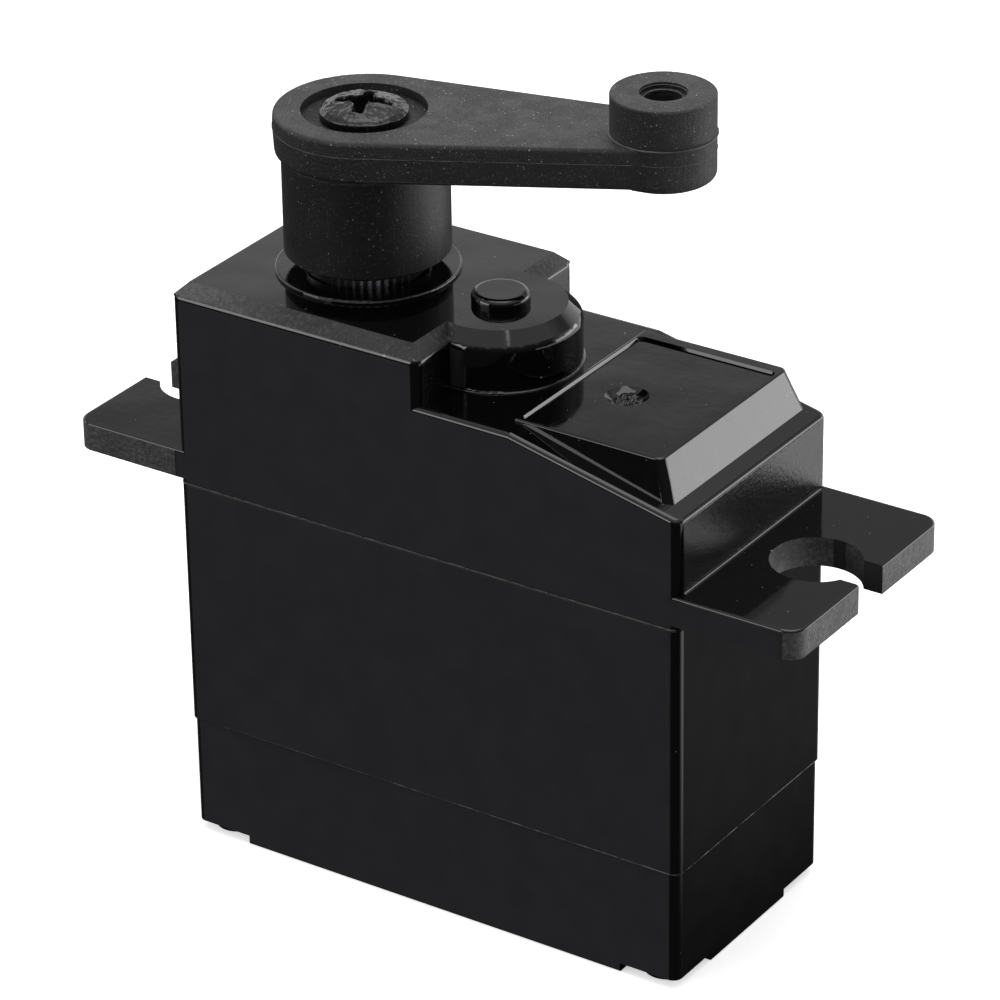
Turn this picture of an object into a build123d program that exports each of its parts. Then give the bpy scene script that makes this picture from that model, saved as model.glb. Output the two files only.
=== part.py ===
"""Geared hobby servo motor, 28.5 x 13.3 mm, with a single-arm horn.

Units are millimetres.  The origin is on the output shaft's axis, at the level of
the flat underside of the case.  +Z runs up the output shaft, +X runs along the case
toward the motor end, and -Y is one of the two long side faces.
"""

import os
from math import acos, cos, pi, radians, sin, tan

from build123d import *

# ---------------------------------------------------------------- driving dimensions

# Case
case_length = 28.5
case_width = 13.34
shaft_inset = 6.9  # output axis to the near end of the case
wall = 0.95
corner_fillet = 0.5
bottom_top_z = 6.38  # joint between bottom case and middle case
middle_top_z = 19.55  # joint between middle case and top case
deck_z = 27.25
block_top_z = 30.18
end_wall_top_z = 25.2
top_chamfer = 0.7
chamfer_rounding = 0.45
rim_rounding = 0.3
parting_inset = 0.08  # bottom case sits this far inside the middle case
parting_edge = 0.07  # broken edges on both sides of a joint
near = 0.01  # how close an edge must lie to a level or a plane to belong to it

x_min = -shaft_inset
x_max = case_length - shaft_inset
x_mid = (x_min + x_max) / 2
half_width = case_width / 2
inner_half_width = half_width - wall

# Top case features
step_x = 7.37  # wall at the end of the raised output block
fall_x = 12.35  # deck starts to fall here
boss_radius = 3.98
button_radius = 1.42
button_height = 0.6
button_rounding = 0.3
collar_radius = 4.5
collar_top_z = 30.36
collar_rounding = 0.1
foot_rounding = 0.12  # inside corners at the feet of the boss and of the end wall
pad_z = 27.4
pad_x_start = 11.9
pad_x_end = 19.87
pad_front_y = -5.37
pad_back_y = 5.85
pad_corner = 0.45
pad_edge = 0.1
pad_panel_half_width = 5.12
pad_panel_depth = 0.14
pad_panel_draft = 25  # slope of the panel's walls, degrees from upright
dimple_x = 14.87
dimple_y = -0.4
dimple_ball_radius = 1.45
dimple_depth = 0.45

# Mounting lugs
lug_bottom_z = 19.8
lug_top_z = 21.3
lug_overhang = 6.25
lug_corner = 0.9
hole_spacing = 35.2
hole_radius = 2.2
hole_slot_width = 2.2

# Case screws, four from below
screw_inset = 1.55
screw_pocket = 3.3
screw_pocket_depth = 0.5
screw_head_radius = 1.15
screw_shank_radius = 0.6
screw_tip_z = 23.4
column_radius = 1.5

# Gear train: output axis at x = 0, first pin, then second pin over the motor shaft
first_pin_x = 7.5
second_pin_x = 13.75
pin_radius = 0.5
running_gap = 0.02
pressure_angle = radians(20)
addendum = 0.8
dedendum = 1.05
fine_module = 0.25
coarse_module = 0.3
motor_teeth, first_wheel_teeth = 9, 41
first_pinion_teeth, second_wheel_teeth = 10, 40
second_pinion_teeth, third_wheel_teeth = 12, 38
third_pinion_teeth, output_teeth = 16, 34
motor_shift, first_shift, second_shift, third_shift = 0.47, 0.41, 0.29, 0.06
tooth_backlash = 0.03

# Output shaft and its bearings
bearing_outer_radius = 5.0
bearing_inner_radius = 3.0
bearing_bottom_z = 26.9
bearing_top_z = 29.4
ball_radius = 0.55
ball_pitch_radius = 4.0
ball_count = 10
spline_teeth = 48
spline_radius = 2.98
spline_root_radius = 2.82
spline_top_z = 35.3
lower_shaft_radius = 1.6
stop_reach = 4.4
stop_half_width = 0.8
stop_bottom_z = 22.0
stop_top_z = 23.6
stop_x = 1.5
stop_y = 4.75
stop_block_width = 1.2
stop_block_length = 2.4

# Horn
horn_angle = 20.4  # direction of the arm at rest, from +X toward +Y
horn_length = 14.38
horn_hub_radius = 4.03
horn_hub_bottom_z = 31.15
horn_under_z = 36.29
horn_boss_bottom_z = 36.14
horn_parting_z = 37.6
horn_top_z = 38.34
horn_head_radius = 4.38
horn_tip_radius = 2.38
horn_boss_radius = 2.53
horn_boss_top_z = 40.35
horn_hole_radius = 0.9
horn_counterbore_radius = 1.15
horn_counterbore_depth = 0.3
horn_recess_radius = 3.03
horn_recess_depth = 0.45
horn_draft = 3
screw_hole_radius = 1.35
horn_screw_radius = 1.2
horn_screw_head_radius = 2.12
horn_screw_rim_z = 38.4
horn_screw_top_z = 38.78

# Motor, potentiometer and electronics
motor_radius = 6.0
motor_flat = 5.0
motor_bottom_z = 3.5
motor_can_bottom_z = 4.6
bed_bottom_z = 18.2
pot_radius = 4.5
pot_bottom_z = 14.0
board_bottom_z = 1.9
board_top_z = 2.7

# Lead
wire_radius = 0.53
wire_pitch = 1.15
lead_y = 0.8
lead_z = 3.3
lead_floor_z = 0.62

screw_points = [
    (x_min + screw_inset, -half_width + screw_inset),
    (x_min + screw_inset, half_width - screw_inset),
    (x_max - screw_inset, -half_width + screw_inset),
    (x_max - screw_inset, half_width - screw_inset),
]


# ---------------------------------------------------------------- shared profiles


def case_rectangle(inset=0.0):
    """The case's outline in plan, drawn in the open sketch."""
    with Locations((x_mid, 0)):
        Rectangle(case_length - 2 * inset, case_width - 2 * inset)


def cavity_outline(margin):
    """A case shell's inside in plan, with room left around the four screw columns."""
    case_rectangle(wall)
    with Locations(*screw_points):
        Circle(margin, mode=Mode.SUBTRACT)


def polar_point(radius, angle):
    """The plan point at a radius and an angle in radians."""
    return (radius * cos(angle), radius * sin(angle))


def involute(angle):
    """The involute function of a pressure angle."""
    return tan(angle) - angle


def gear_ring(teeth, module, shift, tooth_angle):
    """Stub involute teeth with profile shift, one of them centred on tooth_angle (degrees)."""
    pitch_radius = module * teeth / 2
    base_radius = pitch_radius * cos(pressure_angle)
    tip_radius = pitch_radius + module * (addendum + shift)
    root_radius = pitch_radius - module * (dedendum - shift)
    thickness = module * (pi / 2 + 2 * shift * tan(pressure_angle)) - tooth_backlash
    start_radius = max(base_radius, root_radius)
    mid_radius = (start_radius + tip_radius) / 2

    def half_angle(radius):
        roll = acos(min(1.0, base_radius / radius))
        return thickness / (2 * pitch_radius) + involute(pressure_angle) - involute(roll)

    pitch_angle = 2 * pi / teeth
    with BuildLine() as outline:
        for n in range(teeth):
            middle = radians(tooth_angle) + n * pitch_angle
            after = middle + pitch_angle
            for side in (-1, 1):
                if root_radius < base_radius:
                    edge = middle + side * half_angle(start_radius)
                    Line(polar_point(root_radius, edge), polar_point(start_radius, edge))
                ThreePointArc(
                    polar_point(start_radius, middle + side * half_angle(start_radius)),
                    polar_point(mid_radius, middle + side * half_angle(mid_radius)),
                    polar_point(tip_radius, middle + side * half_angle(tip_radius)),
                )
            Line(
                polar_point(tip_radius, middle - half_angle(tip_radius)),
                polar_point(tip_radius, middle + half_angle(tip_radius)),
            )
            Line(
                polar_point(root_radius, middle + half_angle(start_radius)),
                polar_point(root_radius, after - half_angle(start_radius)),
            )
    make_face(outline.edges())


def spline_ring(root_radius, tip_radius):
    """Pointed serrations of the output spline, drawn in the open sketch."""
    half_pitch = pi / spline_teeth
    points = []
    for n in range(spline_teeth):
        points.append(polar_point(tip_radius, 2 * n * half_pitch))
        points.append(polar_point(root_radius, (2 * n + 1) * half_pitch))
    with BuildLine() as outline:
        Polyline(*points, close=True)
    make_face(outline.edges())


def horn_plane(z):
    """The horn's own frame at a height, turned to the arm's rest direction."""
    return Plane.XY.offset(z).rotated((0, 0, horn_angle))


def horn_outline():
    """The arm in plan: a head circle and a tip circle inside one tight outline."""
    Circle(horn_head_radius)
    with Locations((horn_length, 0)):
        Circle(horn_tip_radius)
    make_hull()


def motor_outline(inset=0.0):
    """The double-flat motor section, drawn in the open sketch."""
    with Locations((second_pin_x, 0)):
        Circle(motor_radius - inset)
        Rectangle(3 * motor_radius, 2 * (motor_flat - inset), mode=Mode.INTERSECT)


# ---------------------------------------------------------------- bottom case

floor_z = 1.0
base_rounding = 0.15
screw_clearance = 0.1
ledge_length = 19
ledge_width = 0.6
ledge_y = inner_half_width - ledge_width / 2
grommet_half_width = 2.2
grommet_bottom_z = 2.3

with BuildPart() as bottom_case:
    with BuildSketch() as bottom_plan:
        case_rectangle(parting_inset)
        fillet(bottom_plan.vertices(), corner_fillet)
    extrude(amount=bottom_top_z)
    fillet(bottom_case.faces().sort_by(Axis.Z)[0].edges(), base_rounding)
    # Hollow inside, with a column left around each screw
    with BuildSketch(Plane.XY.offset(floor_z)):
        cavity_outline(column_radius)
    extrude(amount=bottom_top_z - floor_z, mode=Mode.SUBTRACT)
    # Shallow corner pockets that take the screw heads
    with BuildSketch():
        with Locations((x_mid, 0)):
            with GridLocations(case_length, case_width, 2, 2):
                Rectangle(2 * screw_pocket, 2 * screw_pocket)
    extrude(amount=screw_pocket_depth, mode=Mode.SUBTRACT)
    with BuildSketch():
        with Locations(*screw_points):
            Circle(screw_shank_radius + screw_clearance)
    extrude(amount=bottom_top_z, mode=Mode.SUBTRACT)
    # Ledges that carry the control board
    with BuildSketch(Plane.XY.offset(floor_z)):
        with Locations((x_mid, -ledge_y), (x_mid, ledge_y)):
            Rectangle(ledge_length, ledge_width)
    extrude(amount=board_bottom_z - floor_z)
    # Slot for the lead's grommet, open at the joint with the middle case
    with Locations((x_min, lead_y, bottom_top_z)):
        Box(
            4 * wall,
            2 * grommet_half_width,
            2 * (bottom_top_z - grommet_bottom_z),
            mode=Mode.SUBTRACT,
        )
bottom_case.part.label = "bottom_case"

# ---------------------------------------------------------------- middle case

bush_outer_radius = 2.4
motor_boss_radius = 1.8
motor_screw_y = 3.4
motor_screw_radius = 0.6
motor_screw_head_radius = 1.1
motor_clearance = 0.1
motor_screw_clearance = 0.05
pin_seat_z = 18.6
divider_x = 7.0

with BuildPart() as middle_case:
    with BuildSketch(Plane.XY.offset(bottom_top_z)) as middle_plan:
        case_rectangle()
        fillet(middle_plan.vertices(), corner_fillet)
    extrude(amount=middle_top_z - bottom_top_z)
    chamfer(middle_case.edges().group_by(Axis.Z)[0], parting_edge)
    chamfer(middle_case.edges().group_by(Axis.Z)[-1], parting_edge)
    # Pocket shaped to the motor, under the gear bed
    with BuildSketch(Plane.XY.offset(bottom_top_z)):
        motor_outline(-motor_clearance)
    extrude(amount=bed_bottom_z - bottom_top_z, mode=Mode.SUBTRACT)
    # Chamber for the potentiometer
    with BuildSketch(Plane.XY.offset(bottom_top_z)):
        cavity_outline(column_radius)
        with Locations((divider_x, 0)):
            Rectangle(case_length, case_width, align=(Align.MIN, Align.CENTER), mode=Mode.SUBTRACT)
    extrude(amount=bed_bottom_z - bottom_top_z, mode=Mode.SUBTRACT)
    with BuildSketch(Plane.XY.offset(bottom_top_z)):
        with Locations(*screw_points):
            Circle(screw_shank_radius + screw_clearance)
    extrude(amount=middle_top_z - bottom_top_z, mode=Mode.SUBTRACT)
    # Gear bed: bush seat, pin seat, motor boss hole and motor screw holes
    with BuildSketch(Plane.XY.offset(bed_bottom_z)):
        Circle(bush_outer_radius)
        with Locations((second_pin_x, 0)):
            Circle(motor_boss_radius + motor_clearance)
        with Locations((second_pin_x, motor_screw_y), (second_pin_x, -motor_screw_y)):
            Circle(motor_screw_radius + motor_screw_clearance)
    extrude(amount=middle_top_z - bed_bottom_z, mode=Mode.SUBTRACT)
    with BuildSketch(Plane.XY.offset(pin_seat_z)):
        with Locations((first_pin_x, 0)):
            Circle(pin_radius)
    extrude(amount=middle_top_z - pin_seat_z, mode=Mode.SUBTRACT)
    for screw_y in (motor_screw_y, -motor_screw_y):
        with Locations((second_pin_x, screw_y, middle_top_z)):
            CounterSinkHole(
                motor_screw_radius + motor_screw_clearance,
                motor_screw_head_radius + motor_screw_clearance,
                depth=1,
            )
middle_case.part.label = "middle_case"

# ---------------------------------------------------------------- top case

roof_slope = (deck_z - end_wall_top_z) / (x_max - fall_x)
roof_thickness = 1.2
gear_ceiling_z = 26.8
boss_cavity_radius = 2.95
boss_cavity_bottom_z = 21.55
boss_ceiling_z = 28.9
column_top_z = 24.0
pilot_hole_top_z = 23.5
upper_pin_seat = 0.5
second_pin_seat_z = 24.85
second_pin_seat_top_z = 26.55
shaft_hole_radius = 3.2
stop_block_height = 2.4
pad_foot_drop = 2.4
pad_side_run = 0.6
pad_back_run = 0.5
pad_end_run = 0.95
panel_border = 0.25
lug_edge = 0.15
button_x = first_pin_x + 0.1


def is_deck_rim(edge):
    """Whether an edge runs along the outer top edge of the deck or of the end wall."""
    centre = edge.center()
    outer = abs(centre.Y) > half_width - corner_fillet or centre.X > x_max - corner_fillet
    return outer and centre.X > step_x and end_wall_top_z - wall < centre.Z < deck_z + near


def is_boss_foot(edge):
    """Whether an edge runs where the round boss stands on the deck."""
    centre = edge.center()
    level = edge.bounding_box().size.Z < near and abs(centre.Z - deck_z) < near
    return level and step_x + near < centre.X < fall_x - near and abs(centre.Y) < boss_radius


def is_pad_corner(edge):
    """Whether an edge is one of the pad's two sloping corners at the motor end."""
    low, high = edge.bounding_box().min, edge.bounding_box().max
    return low.X > pad_x_end - near and high.Z > pad_z - near and high.Z - low.Z > 1


with BuildPart() as top_case:
    # Body: raised output block, flat deck and falling deck, as one side profile
    with BuildSketch(Plane.XZ) as side_view:
        with BuildLine():
            Polyline(
                (x_min, middle_top_z),
                (x_min, block_top_z),
                (step_x, block_top_z),
                (step_x, deck_z),
                (fall_x, deck_z),
                (x_max, end_wall_top_z),
                (x_max, middle_top_z),
                close=True,
            )
        make_face()
    extrude(amount=half_width, both=True)
    # Round boss over the first gear pin, joined to the block
    with BuildSketch(Plane.XY.offset(deck_z - roof_thickness)):
        with Locations((first_pin_x, 0)):
            Circle(boss_radius)
    extrude(amount=block_top_z - deck_z + roof_thickness)
    chamfer(top_case.edges().group_by(Axis.Z)[-1], top_chamfer)
    corners = top_case.edges().filter_by(Axis.Z)
    fillet(corners.filter_by(lambda e: abs(e.center().Y) > half_width - near), corner_fillet)
    chamfer(top_case.edges().group_by(Axis.Z)[0], parting_edge)
    # Softened edges: foot of the chamfer, and the rim of the deck
    chamfer_foot_z = block_top_z - top_chamfer
    fillet(
        top_case.edges().filter_by_position(Axis.Z, chamfer_foot_z - near, chamfer_foot_z + near),
        chamfer_rounding,
    )
    fillet(top_case.edges().filter_by(is_deck_rim), rim_rounding)
    fillet(top_case.edges().filter_by(is_boss_foot), foot_rounding)
    # Mounting lugs, flush with both long sides
    with BuildSketch(Plane.XY.offset(lug_bottom_z)) as lug_plan:
        with Locations((x_mid, 0)):
            Rectangle(case_length + 2 * lug_overhang, case_width)
        fillet(lug_plan.vertices(), lug_corner)
    extrude(amount=lug_top_z - lug_bottom_z)
    lug_rims = top_case.edges().filter_by_position(Axis.Z, lug_top_z - near, lug_top_z + near)
    lug_rims = lug_rims.filter_by(
        lambda e: e.center().X < x_min - near or e.center().X > x_max + near
    )
    fillet(lug_rims, lug_edge)
    with BuildSketch(Plane.XY.offset(lug_bottom_z)):
        for side in (-1, 1):
            hole_x = x_mid + side * hole_spacing / 2
            with Locations((hole_x, 0)):
                Circle(hole_radius)
            with Locations((hole_x + side * lug_overhang / 2, 0)):
                Rectangle(lug_overhang, hole_slot_width)
    extrude(amount=lug_top_z - lug_bottom_z, mode=Mode.SUBTRACT)
    # Rounded inside corner between the end wall and the lug
    with BuildSketch(Plane.XZ):
        with BuildLine():
            Polyline(
                (x_max + foot_rounding, lug_top_z),
                (x_max, lug_top_z),
                (x_max, lug_top_z + foot_rounding),
            )
            RadiusArc(
                (x_max, lug_top_z + foot_rounding),
                (x_max + foot_rounding, lug_top_z),
                -foot_rounding,
            )
        make_face()
    extrude(amount=half_width - corner_fillet, both=True)
    # Low collar around the output shaft
    with BuildSketch(Plane.XY.offset(block_top_z)):
        Circle(collar_radius)
    extrude(amount=collar_top_z - block_top_z)
    fillet(top_case.edges().group_by(Axis.Z)[-1], collar_rounding)
    # Pad: level platform on the falling deck, with sloping flanks
    with BuildSketch(Plane.XY.offset(pad_z - pad_foot_drop)):
        with Locations((pad_x_start, pad_front_y - pad_side_run)):
            Rectangle(
                pad_x_end - pad_x_start + pad_end_run,
                pad_back_y - pad_front_y + pad_side_run + pad_back_run,
                align=(Align.MIN, Align.MIN),
            )
    with BuildSketch(Plane.XY.offset(pad_z)):
        with Locations((pad_x_start, pad_front_y)):
            Rectangle(
                pad_x_end - pad_x_start,
                pad_back_y - pad_front_y,
                align=(Align.MIN, Align.MIN),
            )
    loft(ruled=True)
    fillet(top_case.edges().filter_by(is_pad_corner), pad_corner)
    pad_rim = top_case.edges().filter_by_position(Axis.Z, pad_z - near, pad_z + near)
    fillet(pad_rim, pad_edge)
    # Sunk panel in the pad, with a thin border, and a moulded dimple
    panel_z = pad_z - pad_panel_depth
    with BuildSketch(Plane.XY.offset(panel_z)) as panel:
        with Locations((pad_x_start + panel_border, 0)):
            Rectangle(
                pad_x_end - pad_x_start - 2 * panel_border,
                2 * pad_panel_half_width,
                align=(Align.MIN, Align.CENTER),
            )
        fillet(panel.vertices(), panel_border)
    extrude(amount=pad_panel_depth, taper=-pad_panel_draft, mode=Mode.SUBTRACT)
    with Locations((dimple_x, dimple_y, panel_z + dimple_ball_radius - dimple_depth)):
        Sphere(dimple_ball_radius, mode=Mode.SUBTRACT)
    # Button on the boss
    with BuildSketch(Plane.XY.offset(block_top_z)):
        with Locations((button_x, 0)):
            Circle(button_radius)
    extrude(amount=button_height)
    button_rim_z = block_top_z + button_height
    button_rim = top_case.edges().filter_by_position(
        Axis.Z, button_rim_z - near, button_rim_z + near
    )
    fillet(button_rim, button_rounding)
    # Gear chamber
    with BuildSketch(Plane.XY.offset(middle_top_z)):
        cavity_outline(column_radius)
    extrude(amount=lug_top_z - middle_top_z, mode=Mode.SUBTRACT)
    with BuildSketch(Plane.XZ):
        with BuildLine():
            Polyline(
                (x_min + wall, lug_top_z),
                (x_min + wall, gear_ceiling_z),
                (step_x - wall, gear_ceiling_z),
                (step_x - wall, deck_z - roof_thickness),
                (fall_x, deck_z - roof_thickness),
                (x_max - wall, end_wall_top_z - roof_thickness + wall * roof_slope),
                (x_max - wall, lug_top_z),
                close=True,
            )
        make_face()
    extrude(amount=inner_half_width, both=True, mode=Mode.SUBTRACT)
    # Screw columns with pilot holes
    with BuildSketch(Plane.XY.offset(lug_top_z)):
        with Locations(*screw_points):
            Circle(column_radius)
    extrude(amount=column_top_z - lug_top_z)
    with BuildSketch(Plane.XY.offset(middle_top_z)):
        with Locations(*screw_points):
            Circle(screw_shank_radius)
    extrude(amount=pilot_hole_top_z - middle_top_z, mode=Mode.SUBTRACT)
    # Room for the third gear's hub inside the boss, and the upper seat of the first pin
    with BuildSketch(Plane.XY.offset(boss_cavity_bottom_z)):
        with Locations((first_pin_x, 0)):
            Circle(boss_cavity_radius)
    extrude(amount=boss_ceiling_z - boss_cavity_bottom_z, mode=Mode.SUBTRACT)
    with BuildSketch(Plane.XY.offset(boss_ceiling_z)):
        with Locations((first_pin_x, 0)):
            Circle(pin_radius)
    extrude(amount=upper_pin_seat, mode=Mode.SUBTRACT)
    # Seat of the second pin, in the roof
    with BuildSketch(Plane.XY.offset(second_pin_seat_z)):
        with Locations((second_pin_x, 0)):
            Circle(pin_radius)
    extrude(amount=second_pin_seat_top_z - second_pin_seat_z, mode=Mode.SUBTRACT)
    # Bearing seat and shaft hole
    with BuildSketch(Plane.XY.offset(gear_ceiling_z)):
        Circle(bearing_outer_radius)
    extrude(amount=bearing_top_z - gear_ceiling_z, mode=Mode.SUBTRACT)
    with BuildSketch(Plane.XY.offset(bearing_top_z)):
        Circle(shaft_hole_radius)
    extrude(amount=collar_top_z - bearing_top_z, mode=Mode.SUBTRACT)
    # Stops that end the output gear's travel
    for side in (-1, 1):
        with Locations((stop_x, side * stop_y, (stop_bottom_z + stop_top_z) / 2)):
            Box(stop_block_width, stop_block_length, stop_block_height)
top_case.part.label = "top_case"

# ---------------------------------------------------------------- case screws

screw_head_bottom_z = 0.05
screw_head_rounding = 0.15
screw_slot_length = 1.3
screw_slot_width = 0.3
screw_slot_depth = 0.25

with BuildPart() as case_screws:
    # Shanks and pan heads, one separate screw in each corner
    with BuildSketch(Plane.XY.offset(screw_pocket_depth)):
        with Locations(*screw_points):
            Circle(screw_shank_radius)
    extrude(amount=screw_tip_z - screw_pocket_depth)
    with BuildSketch(Plane.XY.offset(screw_head_bottom_z)):
        with Locations(*screw_points):
            Circle(screw_head_radius)
    extrude(amount=screw_pocket_depth - screw_head_bottom_z)
    fillet(case_screws.edges().group_by(Axis.Z)[0], screw_head_rounding)
    # Cross recess in each head
    with BuildSketch(Plane.XY.offset(screw_head_bottom_z)):
        with Locations(*screw_points):
            Rectangle(screw_slot_length, screw_slot_width)
            Rectangle(screw_slot_width, screw_slot_length)
    extrude(amount=screw_slot_depth, mode=Mode.SUBTRACT)
case_screws.part.label = "case_screws"

# ---------------------------------------------------------------- output shaft and gear

output_gear_bottom_z = 24.4
output_gear_top_z = 26.6
shoulder_radius = 3.5
output_foot_z = 18.25
bush_flange_top_z = 19.75
shaft_step_z = 19.85
shaft_step_radius = 2.0
gear_hub_bottom_z = 23.0
gear_hub_radius = 2.3
spline_bottom_z = 30.1
pot_shaft_radius = 0.95
pot_shaft_flat = 0.55
pot_shaft_top_z = 20.3
pot_bore_top_z = 20.5
shoulder_bottom_z = 26.5
journal_top_z = 29.7
screw_bore_bottom_z = 30.0


def pot_shaft_profile(gap=0.0):
    """The potentiometer shaft's D section, drawn in the open sketch."""
    Circle(pot_shaft_radius + gap)
    with Locations((pot_shaft_flat + gap, 0)):
        Rectangle(
            2 * pot_shaft_radius,
            3 * pot_shaft_radius,
            align=(Align.MIN, Align.CENTER),
            mode=Mode.SUBTRACT,
        )


with BuildPart() as output_gear:
    # Toothed wheel
    with BuildSketch(Plane.XY.offset(output_gear_bottom_z)):
        gear_ring(output_teeth, coarse_module, -third_shift, 180 / output_teeth)
    extrude(amount=output_gear_top_z - output_gear_bottom_z)
    # Turned shaft: foot, step, hub, shoulder and bearing journal, as one half section
    with BuildSketch(Plane.XZ):
        with BuildLine():
            Polyline(
                (0, output_foot_z),
                (lower_shaft_radius, output_foot_z),
                (lower_shaft_radius, shaft_step_z),
                (shaft_step_radius, shaft_step_z),
                (shaft_step_radius, gear_hub_bottom_z),
                (gear_hub_radius, gear_hub_bottom_z),
                (gear_hub_radius, shoulder_bottom_z),
                (shoulder_radius, shoulder_bottom_z),
                (shoulder_radius, bearing_bottom_z),
                (bearing_inner_radius, bearing_bottom_z),
                (bearing_inner_radius, bearing_top_z),
                (spline_root_radius, journal_top_z),
                (spline_root_radius, spline_top_z),
                (0, spline_top_z),
                close=True,
            )
        make_face()
    revolve(axis=Axis.Z)
    # Serrated end that the horn slides over
    with BuildSketch(Plane.XY.offset(spline_bottom_z)):
        spline_ring(spline_root_radius, spline_radius)
    extrude(amount=spline_top_z - spline_bottom_z)
    # Stop tab, opposite the motor
    with Locations((0, 0, stop_bottom_z)):
        Box(
            stop_reach,
            2 * stop_half_width,
            stop_top_z - stop_bottom_z,
            align=(Align.MAX, Align.CENTER, Align.MIN),
        )
    # Screw hole from above, and D bore from below for the potentiometer shaft
    with BuildSketch(Plane.XY.offset(spline_top_z)):
        Circle(horn_screw_radius)
    extrude(amount=screw_bore_bottom_z - spline_top_z, mode=Mode.SUBTRACT)
    with BuildSketch(Plane.XY.offset(output_foot_z)):
        pot_shaft_profile(running_gap)
    extrude(amount=pot_bore_top_z - output_foot_z, mode=Mode.SUBTRACT)
output_gear.part.label = "output_gear"

# ---------------------------------------------------------------- bearings

race_gap = 0.8
race_inner_shoulder = ball_pitch_radius - race_gap / 2
race_outer_shoulder = ball_pitch_radius + race_gap / 2
ball_z = (bearing_bottom_z + bearing_top_z) / 2
groove_radius = ball_radius + running_gap
bush_flange_radius = 2.9

with BuildPart() as bearing_outer_race:
    with BuildSketch(Plane.XY.offset(bearing_bottom_z)):
        Circle(bearing_outer_radius)
        Circle(race_outer_shoulder, mode=Mode.SUBTRACT)
    extrude(amount=bearing_top_z - bearing_bottom_z)
    with BuildSketch(Plane.XZ):
        with Locations((ball_pitch_radius, ball_z)):
            Circle(groove_radius)
    revolve(axis=Axis.Z, mode=Mode.SUBTRACT)
bearing_outer_race.part.label = "bearing_outer_race"

with BuildPart() as bearing_inner_race:
    with BuildSketch(Plane.XY.offset(bearing_bottom_z)):
        Circle(race_inner_shoulder)
        Circle(bearing_inner_radius, mode=Mode.SUBTRACT)
    extrude(amount=bearing_top_z - bearing_bottom_z)
    with BuildSketch(Plane.XZ):
        with Locations((ball_pitch_radius, ball_z)):
            Circle(groove_radius)
    revolve(axis=Axis.Z, mode=Mode.SUBTRACT)
bearing_inner_race.part.label = "bearing_inner_race"

with BuildPart() as bearing_balls:
    with Locations((0, 0, ball_z)):
        with PolarLocations(ball_pitch_radius, ball_count):
            Sphere(ball_radius)
bearing_balls.part.label = "bearing_balls"

with BuildPart() as lower_bush:
    with BuildSketch(Plane.XY.offset(bed_bottom_z)):
        Circle(bush_outer_radius)
    extrude(amount=middle_top_z - bed_bottom_z)
    with BuildSketch(Plane.XY.offset(middle_top_z)):
        Circle(bush_flange_radius)
    extrude(amount=bush_flange_top_z - middle_top_z)
    with BuildSketch(Plane.XY.offset(bed_bottom_z)):
        Circle(lower_shaft_radius + running_gap)
    extrude(amount=bush_flange_top_z - bed_bottom_z, mode=Mode.SUBTRACT)
lower_bush.part.label = "lower_bush"

# ---------------------------------------------------------------- reduction gears

first_wheel_z = (19.95, 21.0)  # bottom and top of each toothed ring and hub
first_pinion_z = (21.0, 22.6)
first_hub_z = (19.85, 22.6)
second_wheel_z = (21.3, 22.4)
second_pinion_z = (22.4, 24.2)
second_hub_z = (21.2, 25.2)
third_wheel_z = (22.9, 24.1)
third_pinion_z = (24.1, 26.65)
third_hub_z = (22.7, 28.7)
pinion_bottom_z = 19.75
pinion_top_z = 21.1
first_hub_radius = 0.85
second_hub_radius = 0.95
third_hub_radius = 1.5
first_pin_top_z = 29.35
second_pin_bottom_z = 21.25
second_pin_top_z = 26.45
pin_chamfer = 0.1


def compound_gear(wheel, pinion, hub, x):
    """One moulded gear: a wheel, a pinion and plain hub ends, bored for its pin.

    wheel and pinion are (teeth, module, shift, tooth angle, z range), and hub is
    (radius, z range).
    """
    for teeth, module, shift, tooth_angle, (bottom_z, top_z) in (wheel, pinion):
        with BuildSketch(Plane((x, 0, bottom_z))) as ring:
            gear_ring(teeth, module, shift, tooth_angle)
        extrude(ring.sketch, amount=top_z - bottom_z)
    radius, (bottom_z, top_z) = hub
    with BuildSketch(Plane((x, 0, bottom_z))) as hub_end:
        Circle(radius)
    extrude(hub_end.sketch, amount=top_z - bottom_z)
    with BuildSketch(Plane((x, 0, bottom_z))) as bore:
        Circle(pin_radius + running_gap)
    extrude(bore.sketch, amount=top_z - bottom_z, mode=Mode.SUBTRACT)


with BuildPart() as first_gear:
    compound_gear(
        (first_wheel_teeth, fine_module, -motor_shift, 180 / first_wheel_teeth, first_wheel_z),
        (first_pinion_teeth, fine_module, first_shift, 0, first_pinion_z),
        (first_hub_radius, first_hub_z),
        first_pin_x,
    )
first_gear.part.label = "first_gear"

with BuildPart() as second_gear:
    compound_gear(
        (
            second_wheel_teeth,
            fine_module,
            -first_shift,
            180 + 180 / second_wheel_teeth,
            second_wheel_z,
        ),
        (second_pinion_teeth, fine_module, second_shift, 180, second_pinion_z),
        (second_hub_radius, second_hub_z),
        second_pin_x,
    )
second_gear.part.label = "second_gear"

with BuildPart() as third_gear:
    compound_gear(
        (third_wheel_teeth, fine_module, -second_shift, 180 / third_wheel_teeth, third_wheel_z),
        (third_pinion_teeth, coarse_module, third_shift, 180, third_pinion_z),
        (third_hub_radius, third_hub_z),
        first_pin_x,
    )
third_gear.part.label = "third_gear"

with BuildPart() as motor_pinion:
    with BuildSketch(Plane((second_pin_x, 0, pinion_bottom_z))):
        gear_ring(motor_teeth, fine_module, motor_shift, 180)
        Circle(pin_radius, mode=Mode.SUBTRACT)
    extrude(amount=pinion_top_z - pinion_bottom_z)
motor_pinion.part.label = "motor_pinion"

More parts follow.
